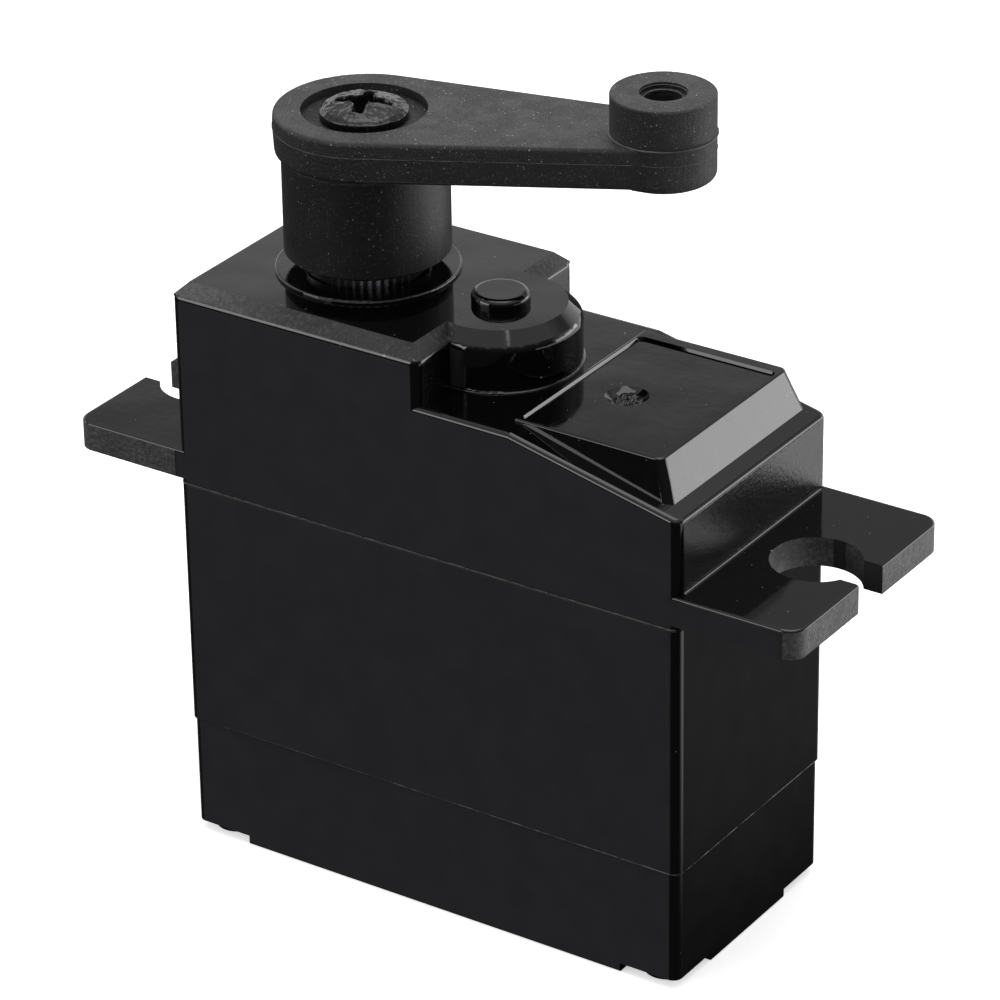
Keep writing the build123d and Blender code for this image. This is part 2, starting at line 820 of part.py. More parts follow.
with BuildPart() as first_gear_pin:
    with BuildSketch(Plane((first_pin_x, 0, pin_seat_z))):
        Circle(pin_radius)
    extrude(amount=first_pin_top_z - pin_seat_z)
    chamfer(first_gear_pin.edges().filter_by(GeomType.CIRCLE), pin_chamfer)
first_gear_pin.part.label = "first_gear_pin"

with BuildPart() as second_gear_pin:
    with BuildSketch(Plane((second_pin_x, 0, second_pin_bottom_z))):
        Circle(pin_radius)
    extrude(amount=second_pin_top_z - second_pin_bottom_z)
    chamfer(second_gear_pin.edges().filter_by(GeomType.CIRCLE), pin_chamfer)
second_gear_pin.part.label = "second_gear_pin"

# ---------------------------------------------------------------- horn and its screw

horn_web_z = 35.6
horn_edge = 0.2
boss_top_edge = 0.1
boss_bottom_edge = 0.35
hub_chamfer = 0.12

with BuildPart() as servo_horn:
    # Arm: drafted below the moulding joint and above it
    with BuildSketch(horn_plane(horn_parting_z)):
        horn_outline()
    extrude(amount=horn_parting_z - horn_under_z, dir=(0, 0, -1), taper=horn_draft)
    fillet(servo_horn.edges().group_by(Axis.Z)[0], horn_edge)
    with BuildSketch(horn_plane(horn_parting_z)):
        horn_outline()
    extrude(amount=horn_top_z - horn_parting_z, taper=horn_draft)
    fillet(servo_horn.edges().group_by(Axis.Z)[-1], horn_edge)
    # Hub below the head, and link boss at the tip
    with BuildSketch(Plane.XY.offset(horn_hub_bottom_z)):
        Circle(horn_hub_radius)
    extrude(amount=horn_parting_z - horn_hub_bottom_z)
    chamfer(servo_horn.edges().group_by(Axis.Z)[0], hub_chamfer)
    with BuildSketch(horn_plane(horn_boss_bottom_z)):
        with Locations((horn_length, 0)):
            Circle(horn_boss_radius)
    extrude(amount=horn_boss_top_z - horn_boss_bottom_z)
    fillet(servo_horn.edges().group_by(Axis.Z)[-1], boss_top_edge)
    boss_rim = servo_horn.edges().filter_by_position(
        Axis.Z, horn_boss_bottom_z - near, horn_boss_bottom_z + near
    )
    fillet(boss_rim, boss_bottom_edge)
    # Screw recess in the head, screw hole, serrated bore and link hole
    with BuildSketch(Plane.XY.offset(horn_top_z)):
        Circle(horn_recess_radius)
    extrude(amount=-horn_recess_depth, mode=Mode.SUBTRACT)
    with BuildSketch(Plane.XY.offset(horn_web_z)):
        Circle(screw_hole_radius)
    extrude(amount=horn_top_z - horn_web_z, mode=Mode.SUBTRACT)
    with BuildSketch(Plane.XY.offset(horn_hub_bottom_z)):
        spline_ring(spline_root_radius + running_gap, spline_radius + running_gap)
    extrude(amount=horn_web_z - horn_hub_bottom_z, mode=Mode.SUBTRACT)
    with BuildSketch(horn_plane(horn_boss_bottom_z)):
        with Locations((horn_length, 0)):
            Circle(horn_hole_radius)
    extrude(amount=horn_boss_top_z - horn_boss_bottom_z, mode=Mode.SUBTRACT)
    with BuildSketch(horn_plane(horn_boss_top_z)):
        with Locations((horn_length, 0)):
            Circle(horn_counterbore_radius)
    extrude(amount=-horn_counterbore_depth, mode=Mode.SUBTRACT)
servo_horn.part.label = "servo_horn"

horn_seat_z = horn_top_z - horn_recess_depth
horn_screw_tip_z = 30.6
cross_length = 2.7
cross_width = 0.75
cross_depth = 0.9
cross_taper = 14
cross_angle = 20

with BuildPart() as horn_screw:
    # Pan head, as one half section with a domed top
    with BuildSketch(Plane.XZ):
        with BuildLine():
            Polyline(
                (0, horn_screw_top_z),
                (0, horn_seat_z),
                (horn_screw_head_radius, horn_seat_z),
                (horn_screw_head_radius, horn_screw_rim_z),
            )
            TangentArc(
                (0, horn_screw_top_z),
                (horn_screw_head_radius, horn_screw_rim_z),
                tangent=(1, 0),
            )
        make_face()
    revolve(axis=Axis.Z)
    with BuildSketch(Plane.XY.offset(horn_screw_tip_z)):
        Circle(horn_screw_radius)
    extrude(amount=horn_seat_z - horn_screw_tip_z)
    # Cross recess, narrowing with depth
    with BuildSketch(Plane.XY.offset(horn_screw_top_z).rotated((0, 0, cross_angle))):
        Rectangle(cross_length, cross_width)
        Rectangle(cross_width, cross_length)
    extrude(amount=cross_depth, dir=(0, 0, -1), taper=cross_taper, mode=Mode.SUBTRACT)
horn_screw.part.label = "horn_screw"

# ---------------------------------------------------------------- motor

can_skin = 0.5
can_rounding = 0.4
motor_bush_radius = 1.2
motor_shaft_bottom_z = 3.9
cap_plug_top_z = 5.4
magnet_bottom_z, magnet_top_z = 7.0, 16.0
magnet_outer_radius, magnet_inner_radius = 5.45, 4.3
magnet_width = 7.6
core_bottom_z, core_top_z = 8.4, 14.6
core_radius = 3.9
core_rim = 0.7
core_hub_radius = 1.3
pole_middle = 2.2
coil_middle = 2.3
pole_gap = 1.0
pole_length, pole_width = 2.6, 1.1
coil_length, coil_width = 1.3, 2.3
coil_overhang = 0.5
commutator_bottom_z, commutator_top_z = 5.9, 7.4
commutator_radius = 1.2
commutator_slot = 0.15
slot_reach = 0.5
motor_boss_top_z = 18.9

with BuildPart() as motor_can:
    with BuildSketch(Plane.XY.offset(motor_can_bottom_z)):
        motor_outline()
    extrude(amount=bed_bottom_z - motor_can_bottom_z)
    fillet(motor_can.edges().group_by(Axis.Z)[-1], can_rounding)
    with BuildSketch(Plane.XY.offset(bed_bottom_z)):
        with Locations((second_pin_x, 0)):
            Circle(motor_boss_radius)
    extrude(amount=motor_boss_top_z - bed_bottom_z)
    with BuildSketch(Plane.XY.offset(motor_can_bottom_z)):
        motor_outline(can_skin)
    extrude(amount=bed_bottom_z - can_skin - motor_can_bottom_z, mode=Mode.SUBTRACT)
    with BuildSketch(Plane.XY.offset(bed_bottom_z - can_skin)):
        with Locations((second_pin_x, 0)):
            Circle(motor_bush_radius)
        with Locations((second_pin_x, motor_screw_y), (second_pin_x, -motor_screw_y)):
            Circle(motor_screw_radius)
    extrude(amount=motor_boss_top_z - bed_bottom_z + can_skin, mode=Mode.SUBTRACT)
motor_can.part.label = "motor_can"

with BuildPart() as motor_bush:
    with BuildSketch(Plane((second_pin_x, 0, bed_bottom_z - can_skin))):
        Circle(motor_bush_radius)
        Circle(pin_radius + running_gap, mode=Mode.SUBTRACT)
    extrude(amount=motor_boss_top_z - bed_bottom_z + can_skin)
motor_bush.part.label = "motor_bush"

with BuildPart() as motor_magnets:
    with BuildSketch(Plane((second_pin_x, 0, magnet_bottom_z))):
        Circle(magnet_outer_radius)
        Circle(magnet_inner_radius, mode=Mode.SUBTRACT)
        Rectangle(3 * motor_radius, magnet_width, mode=Mode.INTERSECT)
    extrude(amount=magnet_top_z - magnet_bottom_z)
motor_magnets.part.label = "motor_magnets"

with BuildPart() as armature_core:
    # Three T-shaped poles on a round hub
    with BuildSketch(Plane((second_pin_x, 0, core_bottom_z))):
        Circle(core_radius)
        Circle(core_radius - core_rim, mode=Mode.SUBTRACT)
        with PolarLocations(core_radius - core_rim / 2, 3, start_angle=60):
            Rectangle(2 * core_rim, pole_gap, mode=Mode.SUBTRACT)
        Circle(core_hub_radius)
        with PolarLocations(pole_middle, 3):
            Rectangle(pole_length, pole_width)
        Circle(pin_radius, mode=Mode.SUBTRACT)
    extrude(amount=core_top_z - core_bottom_z)
armature_core.part.label = "armature_core"

with BuildPart() as armature_windings:
    # One wound coil around each pole
    with BuildSketch(Plane((second_pin_x, 0, core_bottom_z - coil_overhang))):
        with PolarLocations(coil_middle, 3):
            Rectangle(coil_length, coil_width)
    extrude(amount=core_top_z - core_bottom_z + 2 * coil_overhang)
    with BuildSketch(Plane((second_pin_x, 0, core_bottom_z - running_gap))):
        with PolarLocations(coil_middle, 3):
            Rectangle(2 * coil_length, pole_width + 2 * running_gap)
    extrude(amount=core_top_z - core_bottom_z + 2 * running_gap, mode=Mode.SUBTRACT)
armature_windings.part.label = "armature_windings"

with BuildPart() as commutator:
    with BuildSketch(Plane((second_pin_x, 0, commutator_bottom_z))):
        Circle(commutator_radius)
        Circle(pin_radius, mode=Mode.SUBTRACT)
    extrude(amount=commutator_top_z - commutator_bottom_z)
    with BuildSketch(Plane((second_pin_x, 0, commutator_bottom_z))):
        with PolarLocations(commutator_radius, 3, start_angle=60):
            Rectangle(slot_reach, commutator_slot)
    extrude(amount=commutator_top_z - commutator_bottom_z, mode=Mode.SUBTRACT)
commutator.part.label = "commutator"

with BuildPart() as motor_shaft:
    with BuildSketch(Plane((second_pin_x, 0, motor_shaft_bottom_z))):
        Circle(pin_radius)
    extrude(amount=pinion_top_z - motor_shaft_bottom_z)
motor_shaft.part.label = "motor_shaft"

terminal_x = 3.9
terminal_bottom_z, terminal_top_z = 2.95, 6.6
terminal_thickness, terminal_width = 0.3, 1.4
leaf_z = 6.5
leaf_width, leaf_thickness = 0.8, 0.2
brush_gap = 0.03

with BuildPart() as motor_end_cap:
    with BuildSketch(Plane.XY.offset(motor_bottom_z)):
        motor_outline()
    extrude(amount=motor_can_bottom_z - motor_bottom_z)
    with BuildSketch(Plane.XY.offset(motor_can_bottom_z)):
        motor_outline(can_skin)
    extrude(amount=cap_plug_top_z - motor_can_bottom_z)
    with BuildSketch(Plane((second_pin_x, 0, motor_shaft_bottom_z))):
        Circle(pin_radius + running_gap)
    extrude(amount=cap_plug_top_z - motor_shaft_bottom_z, mode=Mode.SUBTRACT)
    with BuildSketch(Plane((second_pin_x, 0, motor_bottom_z))):
        with Locations((terminal_x, 0), (-terminal_x, 0)):
            Rectangle(terminal_thickness, terminal_width)
    extrude(amount=cap_plug_top_z - motor_bottom_z, mode=Mode.SUBTRACT)
motor_end_cap.part.label = "motor_end_cap"

with BuildPart() as motor_terminals:
    # Tab through the end cap, and a spring leaf that bears on the commutator
    with BuildSketch(Plane((second_pin_x, 0, terminal_bottom_z))):
        with Locations((terminal_x, 0), (-terminal_x, 0)):
            Rectangle(terminal_thickness, terminal_width)
    extrude(amount=terminal_top_z - terminal_bottom_z)
    leaf_length = terminal_x - commutator_radius - brush_gap
    for side in (-1, 1):
        leaf_mid_x = second_pin_x + side * (terminal_x - leaf_length / 2)
        with Locations((leaf_mid_x, 0, leaf_z)):
            Box(leaf_length, leaf_width, leaf_thickness)
motor_terminals.part.label = "motor_terminals"

motor_screw_bottom_z = 17.3
motor_screw_top_z = 19.5
head_depth = 0.5
head_cross_length, head_cross_width, head_cross_depth = 1.1, 0.25, 0.3

with BuildPart() as motor_screws:
    with BuildSketch(Plane.XY.offset(motor_screw_bottom_z)):
        with Locations((second_pin_x, motor_screw_y), (second_pin_x, -motor_screw_y)):
            Circle(motor_screw_radius)
    extrude(amount=motor_screw_top_z - motor_screw_bottom_z)
    with BuildSketch(Plane.XY.offset(motor_screw_top_z)):
        with Locations((second_pin_x, motor_screw_y), (second_pin_x, -motor_screw_y)):
            Circle(motor_screw_head_radius - running_gap)
    extrude(amount=head_depth, dir=(0, 0, -1), taper=45)
    with BuildSketch(Plane.XY.offset(motor_screw_top_z)):
        with Locations((second_pin_x, motor_screw_y), (second_pin_x, -motor_screw_y)):
            Rectangle(head_cross_length, head_cross_width)
            Rectangle(head_cross_width, head_cross_length)
    extrude(amount=-head_cross_depth, mode=Mode.SUBTRACT)
motor_screws.part.label = "motor_screws"

# ---------------------------------------------------------------- potentiometer

pot_skin = 0.6
pot_base_thickness = 0.6
track_z = 14.7
track_radius, track_width = 3.0, 1.0
track_opening = 1.4
shaft_clearance = 0.05
wiper_disc_z = 15.7
wiper_disc_radius, wiper_disc_thickness = 3.2, 0.6
wiper_root_x, wiper_bend_x = 1.2, 2.3
wiper_tip_x, wiper_tip_end_x = 2.6, 2.8
wiper_thickness = 0.15
wiper_half_width = 0.4
track_gap = 0.03
pin_pitch = 2.0
pin_thickness, pin_width, pin_length = 0.3, 0.6, 2.6
pot_pin_x = -3.0
pot_pin_bottom_z = 12.0

with BuildPart() as pot_body:
    with BuildSketch(Plane.XY.offset(pot_bottom_z)):
        Circle(pot_radius)
    extrude(amount=bed_bottom_z - pot_bottom_z)
    with BuildSketch(Plane.XY.offset(pot_bottom_z)):
        Circle(pot_radius - pot_skin)
    extrude(amount=bed_bottom_z - pot_bottom_z - pot_skin, mode=Mode.SUBTRACT)
    with BuildSketch(Plane.XY.offset(pot_bottom_z)):
        Circle(pot_shaft_radius + shaft_clearance)
    extrude(amount=bed_bottom_z - pot_bottom_z, mode=Mode.SUBTRACT)
pot_body.part.label = "pot_body"

with BuildPart() as pot_base:
    with BuildSketch(Plane.XY.offset(pot_bottom_z)):
        Circle(pot_radius - pot_skin)
        with GridLocations(0, pin_pitch, 1, 3):
            with Locations((pot_pin_x, 0)):
                Rectangle(pin_thickness, pin_width, mode=Mode.SUBTRACT)
    extrude(amount=pot_base_thickness)
pot_base.part.label = "pot_base"

with BuildPart() as pot_track:
    # Open carbon ring that the wiper runs on
    with BuildSketch(Plane.XY.offset(pot_bottom_z + pot_base_thickness)):
        Circle(track_radius)
        Circle(track_radius - track_width, mode=Mode.SUBTRACT)
        with Locations((track_width / 2 - track_radius, 0)):
            Rectangle(track_opening, track_width, mode=Mode.SUBTRACT)
    extrude(amount=track_z - pot_bottom_z - pot_base_thickness)
pot_track.part.label = "pot_track"

with BuildPart() as pot_shaft:
    with BuildSketch(Plane.XY.offset(track_z + shaft_clearance)):
        Circle(pot_shaft_radius)
    extrude(amount=output_foot_z - track_z - shaft_clearance)
    with BuildSketch(Plane.XY.offset(output_foot_z)):
        pot_shaft_profile()
    extrude(amount=pot_shaft_top_z - output_foot_z)
    with BuildSketch(Plane.XY.offset(wiper_disc_z)):
        Circle(wiper_disc_radius)
    extrude(amount=wiper_disc_thickness)
pot_shaft.part.label = "pot_shaft"

with BuildPart() as pot_wiper:
    # Spring strip under the disc, bent down to the track
    with BuildSketch(Plane.XZ) as wiper_side:
        with BuildLine():
            Polyline(
                (wiper_root_x, wiper_disc_z),
                (wiper_root_x, wiper_disc_z - wiper_thickness),
                (wiper_bend_x, wiper_disc_z - wiper_thickness),
                (wiper_tip_x, track_z + track_gap),
                (wiper_tip_end_x, track_z + track_gap),
                (wiper_bend_x + 0.2, wiper_disc_z),
                close=True,
            )
        make_face()
    extrude(amount=wiper_half_width, both=True)
pot_wiper.part.label = "pot_wiper"

with BuildPart() as pot_terminals:
    with BuildSketch(Plane.XY.offset(pot_pin_bottom_z)):
        with GridLocations(0, pin_pitch, 1, 3):
            with Locations((pot_pin_x, 0)):
                Rectangle(pin_thickness, pin_width)
    extrude(amount=pin_length)
pot_terminals.part.label = "pot_terminals"

# ---------------------------------------------------------------- control electronics

board_x_start = -3.4
board_length = 21.6
board_width = 10.4
board_corner = 0.5
wire_hole_x = 1.2  # from the board's end
wire_hole_pitch = 1.5
wire_hole_radius = 0.35
chip_x = 3.6
chip_length, chip_width, chip_height = 3.0, 4.4, 1.0
chip_edge = 0.12
lead_pitch = 0.65
lead_width, lead_thickness = 0.3, 0.15
lead_foot_length, lead_foot_spacing = 1.0, 3.9
lead_knee_height, lead_knee_spacing = 0.4, 3.2
driver_y = 3.9
driver_length, driver_width, driver_height = 2.9, 1.6, 1.1
capacitor_points = [(0.4, 3.6), (-1.6, -3.7), (0.6, -3.7)]
capacitor_length, capacitor_width = 1.6, 0.8

with BuildPart() as control_board:
    with BuildSketch(Plane((board_x_start, 0, board_bottom_z))) as board_plan:
        Rectangle(board_length, board_width, align=(Align.MIN, Align.CENTER))
        fillet(board_plan.vertices(), board_corner)
        with Locations((wire_hole_x, 0)):
            with GridLocations(0, wire_hole_pitch, 1, 3):
                Circle(wire_hole_radius, mode=Mode.SUBTRACT)
    extrude(amount=board_top_z - board_bottom_z)
control_board.part.label = "control_board"

with BuildPart() as controller_chip:
    # Square plastic body with gull-wing leads on two sides
    with Locations((chip_x, 0, board_top_z + lead_thickness)):
        Box(chip_length, chip_width, chip_height, align=(Align.CENTER, Align.CENTER, Align.MIN))
    chamfer(controller_chip.edges().group_by(Axis.Z)[-1], chip_edge)
    with Locations((chip_x, 0, board_top_z)):
        with GridLocations(lead_foot_spacing, lead_pitch, 2, 6):
            Box(
                lead_foot_length,
                lead_width,
                lead_thickness,
                align=(Align.CENTER, Align.CENTER, Align.MIN),
            )
    with Locations((chip_x, 0, board_top_z + lead_thickness)):
        with GridLocations(lead_knee_spacing, lead_pitch, 2, 6):
            Box(
                lead_width,
                lead_width,
                lead_knee_height,
                align=(Align.CENTER, Align.CENTER, Align.MIN),
            )
controller_chip.part.label = "controller_chip"

with BuildPart() as driver_chips:
    with Locations((chip_x, driver_y, board_top_z), (chip_x, -driver_y, board_top_z)):
        Box(
            driver_length,
            driver_width,
            driver_height,
            align=(Align.CENTER, Align.CENTER, Align.MIN),
        )
driver_chips.part.label = "driver_chips"

with BuildPart() as chip_capacitors:
    with Locations(*((x, y, board_top_z) for x, y in capacitor_points)):
        Box(
            capacitor_length,
            capacitor_width,
            capacitor_width,
            align=(Align.CENTER, Align.CENTER, Align.MIN),
        )
chip_capacitors.part.label = "chip_capacitors"

inner_wire_radius = 0.25
solder_offset = 0.45  # wire centre to the terminal it is soldered to
motor_wire_z = 3.1
motor_wire_end = (6.4, 2.6, 2.98)
motor_wire_middle_y, motor_wire_middle_z = 2.2, 3.05
pot_wire_foot = (-2.2, 3.95)


def bent_wire(*points):
    """A thin round wire along a smooth curve through the points."""
    with BuildLine() as route:
        Spline(*points)
    with BuildSketch(Plane(route.line @ 0, z_dir=route.line % 0)) as section:
        Circle(inner_wire_radius)
    sweep(section.sketch, path=route.line)


with BuildPart() as motor_wires:
    # From the two motor tabs along the board to its edge
    for side, tab_x in ((1, second_pin_x + terminal_x), (-1, second_pin_x - terminal_x)):
        end_x, end_y, end_z = motor_wire_end
        start_x = tab_x - solder_offset
        bent_wire(
            (start_x, side * 0.4, motor_wire_z),
            ((start_x + end_x) / 2, side * motor_wire_middle_y, motor_wire_middle_z),
            (end_x, side * end_y, end_z),
        )
motor_wires.part.label = "motor_wires"

with BuildPart() as pot_wires:
    # Three wires from the potentiometer down to the board
    for row in (-1, 0, 1):
        foot_x, foot_z = pot_wire_foot
        bent_wire(
            (pot_pin_x + solder_offset, row * pin_pitch, 12.6),
            (pot_pin_x + 0.9, row * pin_pitch, 10.0),
            (pot_pin_x + 0.6, row * pin_pitch, 6.5),
            (foot_x, row * wire_hole_pitch, foot_z),
        )
pot_wires.part.label = "pot_wires"

# ---------------------------------------------------------------- lead

flange_thickness = 0.6
flange_margin = 0.3
bend_start_x = -8.0
first_bend = 2.6
row_turn_x, row_turn_y = -7.48, 9.5
row_radius = 3.12
return_turn_x = 8.5
return_radius = 3.0
connector_x = -3.5
connector_length = 14.0
connector_width = 7.6
connector_height = 2.5
connector_rounding = 0.3
flange_rounding = 0.25
contact_pitch = 2.54
cavity_size, cavity_depth = 1.5, 9
contact_size, contact_opening = 1.4, 0.9
contact_setback, contact_length = 0.5, 8
lead_start_x = -2.2


def lead_wire(offset):
    """One lead wire; offset is its distance from the middle one, positive to its left."""
    bend = first_bend + offset
    side_x = bend_start_x - bend
    drop_y = lead_y + first_bend
    row_y = row_turn_y + row_radius + offset
    turn_y = row_turn_y + row_radius + return_radius
    outer, inner = row_radius + offset, return_radius - offset
    with BuildLine() as route:
        Line((lead_start_x, lead_y - offset, lead_z), (bend_start_x, lead_y - offset, lead_z))
        ThreePointArc(
            (bend_start_x, lead_y - offset, lead_z),
            (bend_start_x - bend * sin(pi / 4), drop_y - bend * cos(pi / 4), lead_z),
            (side_x, drop_y, lead_z),
        )
        Spline(
            (side_x, drop_y, lead_z),
            (side_x, row_turn_y, lead_floor_z),
            tangents=((0, 1, 0), (0, 1, 0)),
        )
        ThreePointArc(
            (side_x, row_turn_y, lead_floor_z),
            (row_turn_x - outer * sin(pi / 4), row_turn_y + outer * cos(pi / 4), lead_floor_z),
            (row_turn_x, row_y, lead_floor_z),
        )
        Line((row_turn_x, row_y, lead_floor_z), (return_turn_x, row_y, lead_floor_z))
        ThreePointArc(
            (return_turn_x, row_y, lead_floor_z),
            (return_turn_x + inner, turn_y, lead_floor_z),
            (return_turn_x, turn_y + inner, lead_floor_z),
        )
        Line(
            (return_turn_x, turn_y + inner, lead_floor_z),
            (connector_x, turn_y + inner, lead_floor_z),
        )
    with BuildSketch(Plane(route.line @ 0, z_dir=route.line % 0)) as section:
        Circle(wire_radius)
    sweep(section.sketch, path=route.line)


with BuildPart() as signal_wire:
    lead_wire(wire_pitch)
signal_wire.part.label = "signal_wire"

with BuildPart() as positive_wire:
    lead_wire(0)
positive_wire.part.label = "positive_wire"

with BuildPart() as ground_wire:
    lead_wire(-wire_pitch)
ground_wire.part.label = "ground_wire"

grommet_height = bottom_top_z - grommet_bottom_z

with BuildPart() as cable_grommet:
    # Neck in the case wall, with a flange inside and outside
    neck_length = wall - parting_inset
    with Locations((x_min + parting_inset, lead_y, grommet_bottom_z)):
        Box(
            neck_length,
            2 * grommet_half_width,
            grommet_height,
            align=(Align.MIN, Align.CENTER, Align.MIN),
        )
    flange_x = (x_min + parting_inset - flange_thickness, x_min + wall)
    for start_x in flange_x:
        with Locations((start_x, lead_y, grommet_bottom_z - flange_margin)):
            Box(
                flange_thickness,
                2 * (grommet_half_width + flange_margin),
                grommet_height + flange_margin,
                align=(Align.MIN, Align.CENTER, Align.MIN),
            )
    outer_face = cable_grommet.faces().sort_by(Axis.X)[0]
    fillet(outer_face.edges(), flange_rounding)
    with BuildSketch(Plane.YZ.offset(x_min - 2)):
        with Locations((lead_y, lead_z)):
            with GridLocations(wire_pitch, 0, 3, 1):
                Circle(wire_radius)
    extrude(amount=5, mode=Mode.SUBTRACT)
cable_grommet.part.label = "cable_grommet"

connector_y = row_turn_y + row_radius + 2 * return_radius
contact_z = connector_height / 2

with BuildPart() as connector_housing:
    with Locations((connector_x, connector_y, 0)):
        Box(
            connector_length,
            connector_width,
            connector_height,
            align=(Align.MAX, Align.CENTER, Align.MIN),
        )
    fillet(connector_housing.edges().filter_by(Axis.X), connector_rounding)
    # Three contact cavities at the front, and wire entries at the back
    with BuildSketch(Plane.YZ.offset(connector_x - connector_length)):
        with Locations((connector_y, contact_z)):
            with GridLocations(contact_pitch, 0, 3, 1):
                Rectangle(cavity_size, cavity_size)
    extrude(amount=cavity_depth, mode=Mode.SUBTRACT)
connector_housing.part.label = "connector_housing"

with BuildPart() as connector_contacts:
    # Open box contacts, one in each cavity
    with BuildSketch(Plane.YZ.offset(connector_x - connector_length + contact_setback)):
        with Locations((connector_y, contact_z)):
            with GridLocations(contact_pitch, 0, 3, 1):
                Rectangle(contact_size, contact_size)
                Rectangle(contact_opening, contact_opening, mode=Mode.SUBTRACT)
    extrude(amount=contact_length)
connector_contacts.part.label = "connector_contacts"

# ---------------------------------------------------------------- export

pieces = [
    top_case,
    middle_case,
    bottom_case,
    case_screws,
    servo_horn,
    horn_screw,
    output_gear,
    bearing_outer_race,
    bearing_inner_race,
    bearing_balls,
    lower_bush,
    third_gear,
    second_gear,
    first_gear,
    motor_pinion,
    first_gear_pin,
    second_gear_pin,
    motor_can,
    motor_bush,
    motor_magnets,
    motor_end_cap,
    motor_terminals,
    motor_shaft,
    armature_core,
    armature_windings,
    commutator,
    motor_screws,
    pot_body,
    pot_base,
    pot_track,
    pot_shaft,
    pot_wiper,
    pot_terminals,
    control_board,
    controller_chip,
    driver_chips,
    chip_capacitors,
    motor_wires,
    pot_wires,
    cable_grommet,
    signal_wire,
    positive_wire,
    ground_wire,
    connector_housing,
    connector_contacts,
]

os.makedirs("parts", exist_ok=True)
for piece in pieces:
    export_step(piece.part, f"parts/{piece.part.label}.step")
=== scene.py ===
from math import atan2, cos, hypot, pi, radians, sin, tau

import bmesh
import bpy
from mathutils import Matrix, Vector, noise


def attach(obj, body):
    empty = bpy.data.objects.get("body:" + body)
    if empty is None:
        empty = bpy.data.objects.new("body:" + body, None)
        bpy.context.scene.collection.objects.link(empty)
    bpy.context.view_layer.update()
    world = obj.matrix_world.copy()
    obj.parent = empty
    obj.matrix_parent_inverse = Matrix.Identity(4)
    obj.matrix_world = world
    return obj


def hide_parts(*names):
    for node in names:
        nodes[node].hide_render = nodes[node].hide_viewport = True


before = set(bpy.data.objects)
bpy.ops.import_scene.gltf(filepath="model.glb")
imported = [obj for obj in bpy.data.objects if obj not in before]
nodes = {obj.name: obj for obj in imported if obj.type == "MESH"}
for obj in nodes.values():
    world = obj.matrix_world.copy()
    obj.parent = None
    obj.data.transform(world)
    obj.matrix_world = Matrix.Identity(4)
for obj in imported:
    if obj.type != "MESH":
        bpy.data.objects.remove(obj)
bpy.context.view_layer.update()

MM = 0.001


# ---------------------------------------------------------------- dimensions
# Positions and sizes of the part that the details and finishes follow, in millimetres.

CASE_X_MIN, CASE_X_MAX = -6.9, 21.6
CASE_HALF_WIDTH = 6.67
CASE_CORNER = 0.5
LUG_X_MAX = 27.85
LUG_BOTTOM_Z = 19.8
END_WALL_TOP_Z = 25.0  # just below the end wall's rounded top edge
JOINT_Z = 19.55
LOW_JOINT_Z = 6.44
BLOCK_X_MAX = 7.45  # just past the end of the raised block
BEVEL_FOOT_Z = 29.4  # just below the foot of the block's chamfer
BOSS_HALF_WIDTH = 4.25  # just past the round boss over the gear pin

DIMPLE_CENTRE = (14.87, -0.4)
DIMPLE_BALL = 1.45
DIMPLE_BALL_Z = 28.26

HORN_TURN = radians(20.4)
HORN_LENGTH = 14.38
HEAD_RADIUS = 4.38
TIP_RADIUS = 2.38
BOSS_RADIUS = 2.53
HUB_TOP_Z = 36.1
HORN_PARTING_Z = 37.6
HORN_TOP_Z = 38.34
BOSS_TOP_Z = 40.35

SCREW_RADIUS = 2.12
SCREW_SEAT_Z = 37.89
SCREW_RIM_Z = 38.4
SCREW_TOP_Z = 38.78
SCREW_SHANK_RADIUS = 1.2
SCREW_TIP_Z = 30.6
SCREW_TURN = radians(20)


# ---------------------------------------------------------------- node helpers


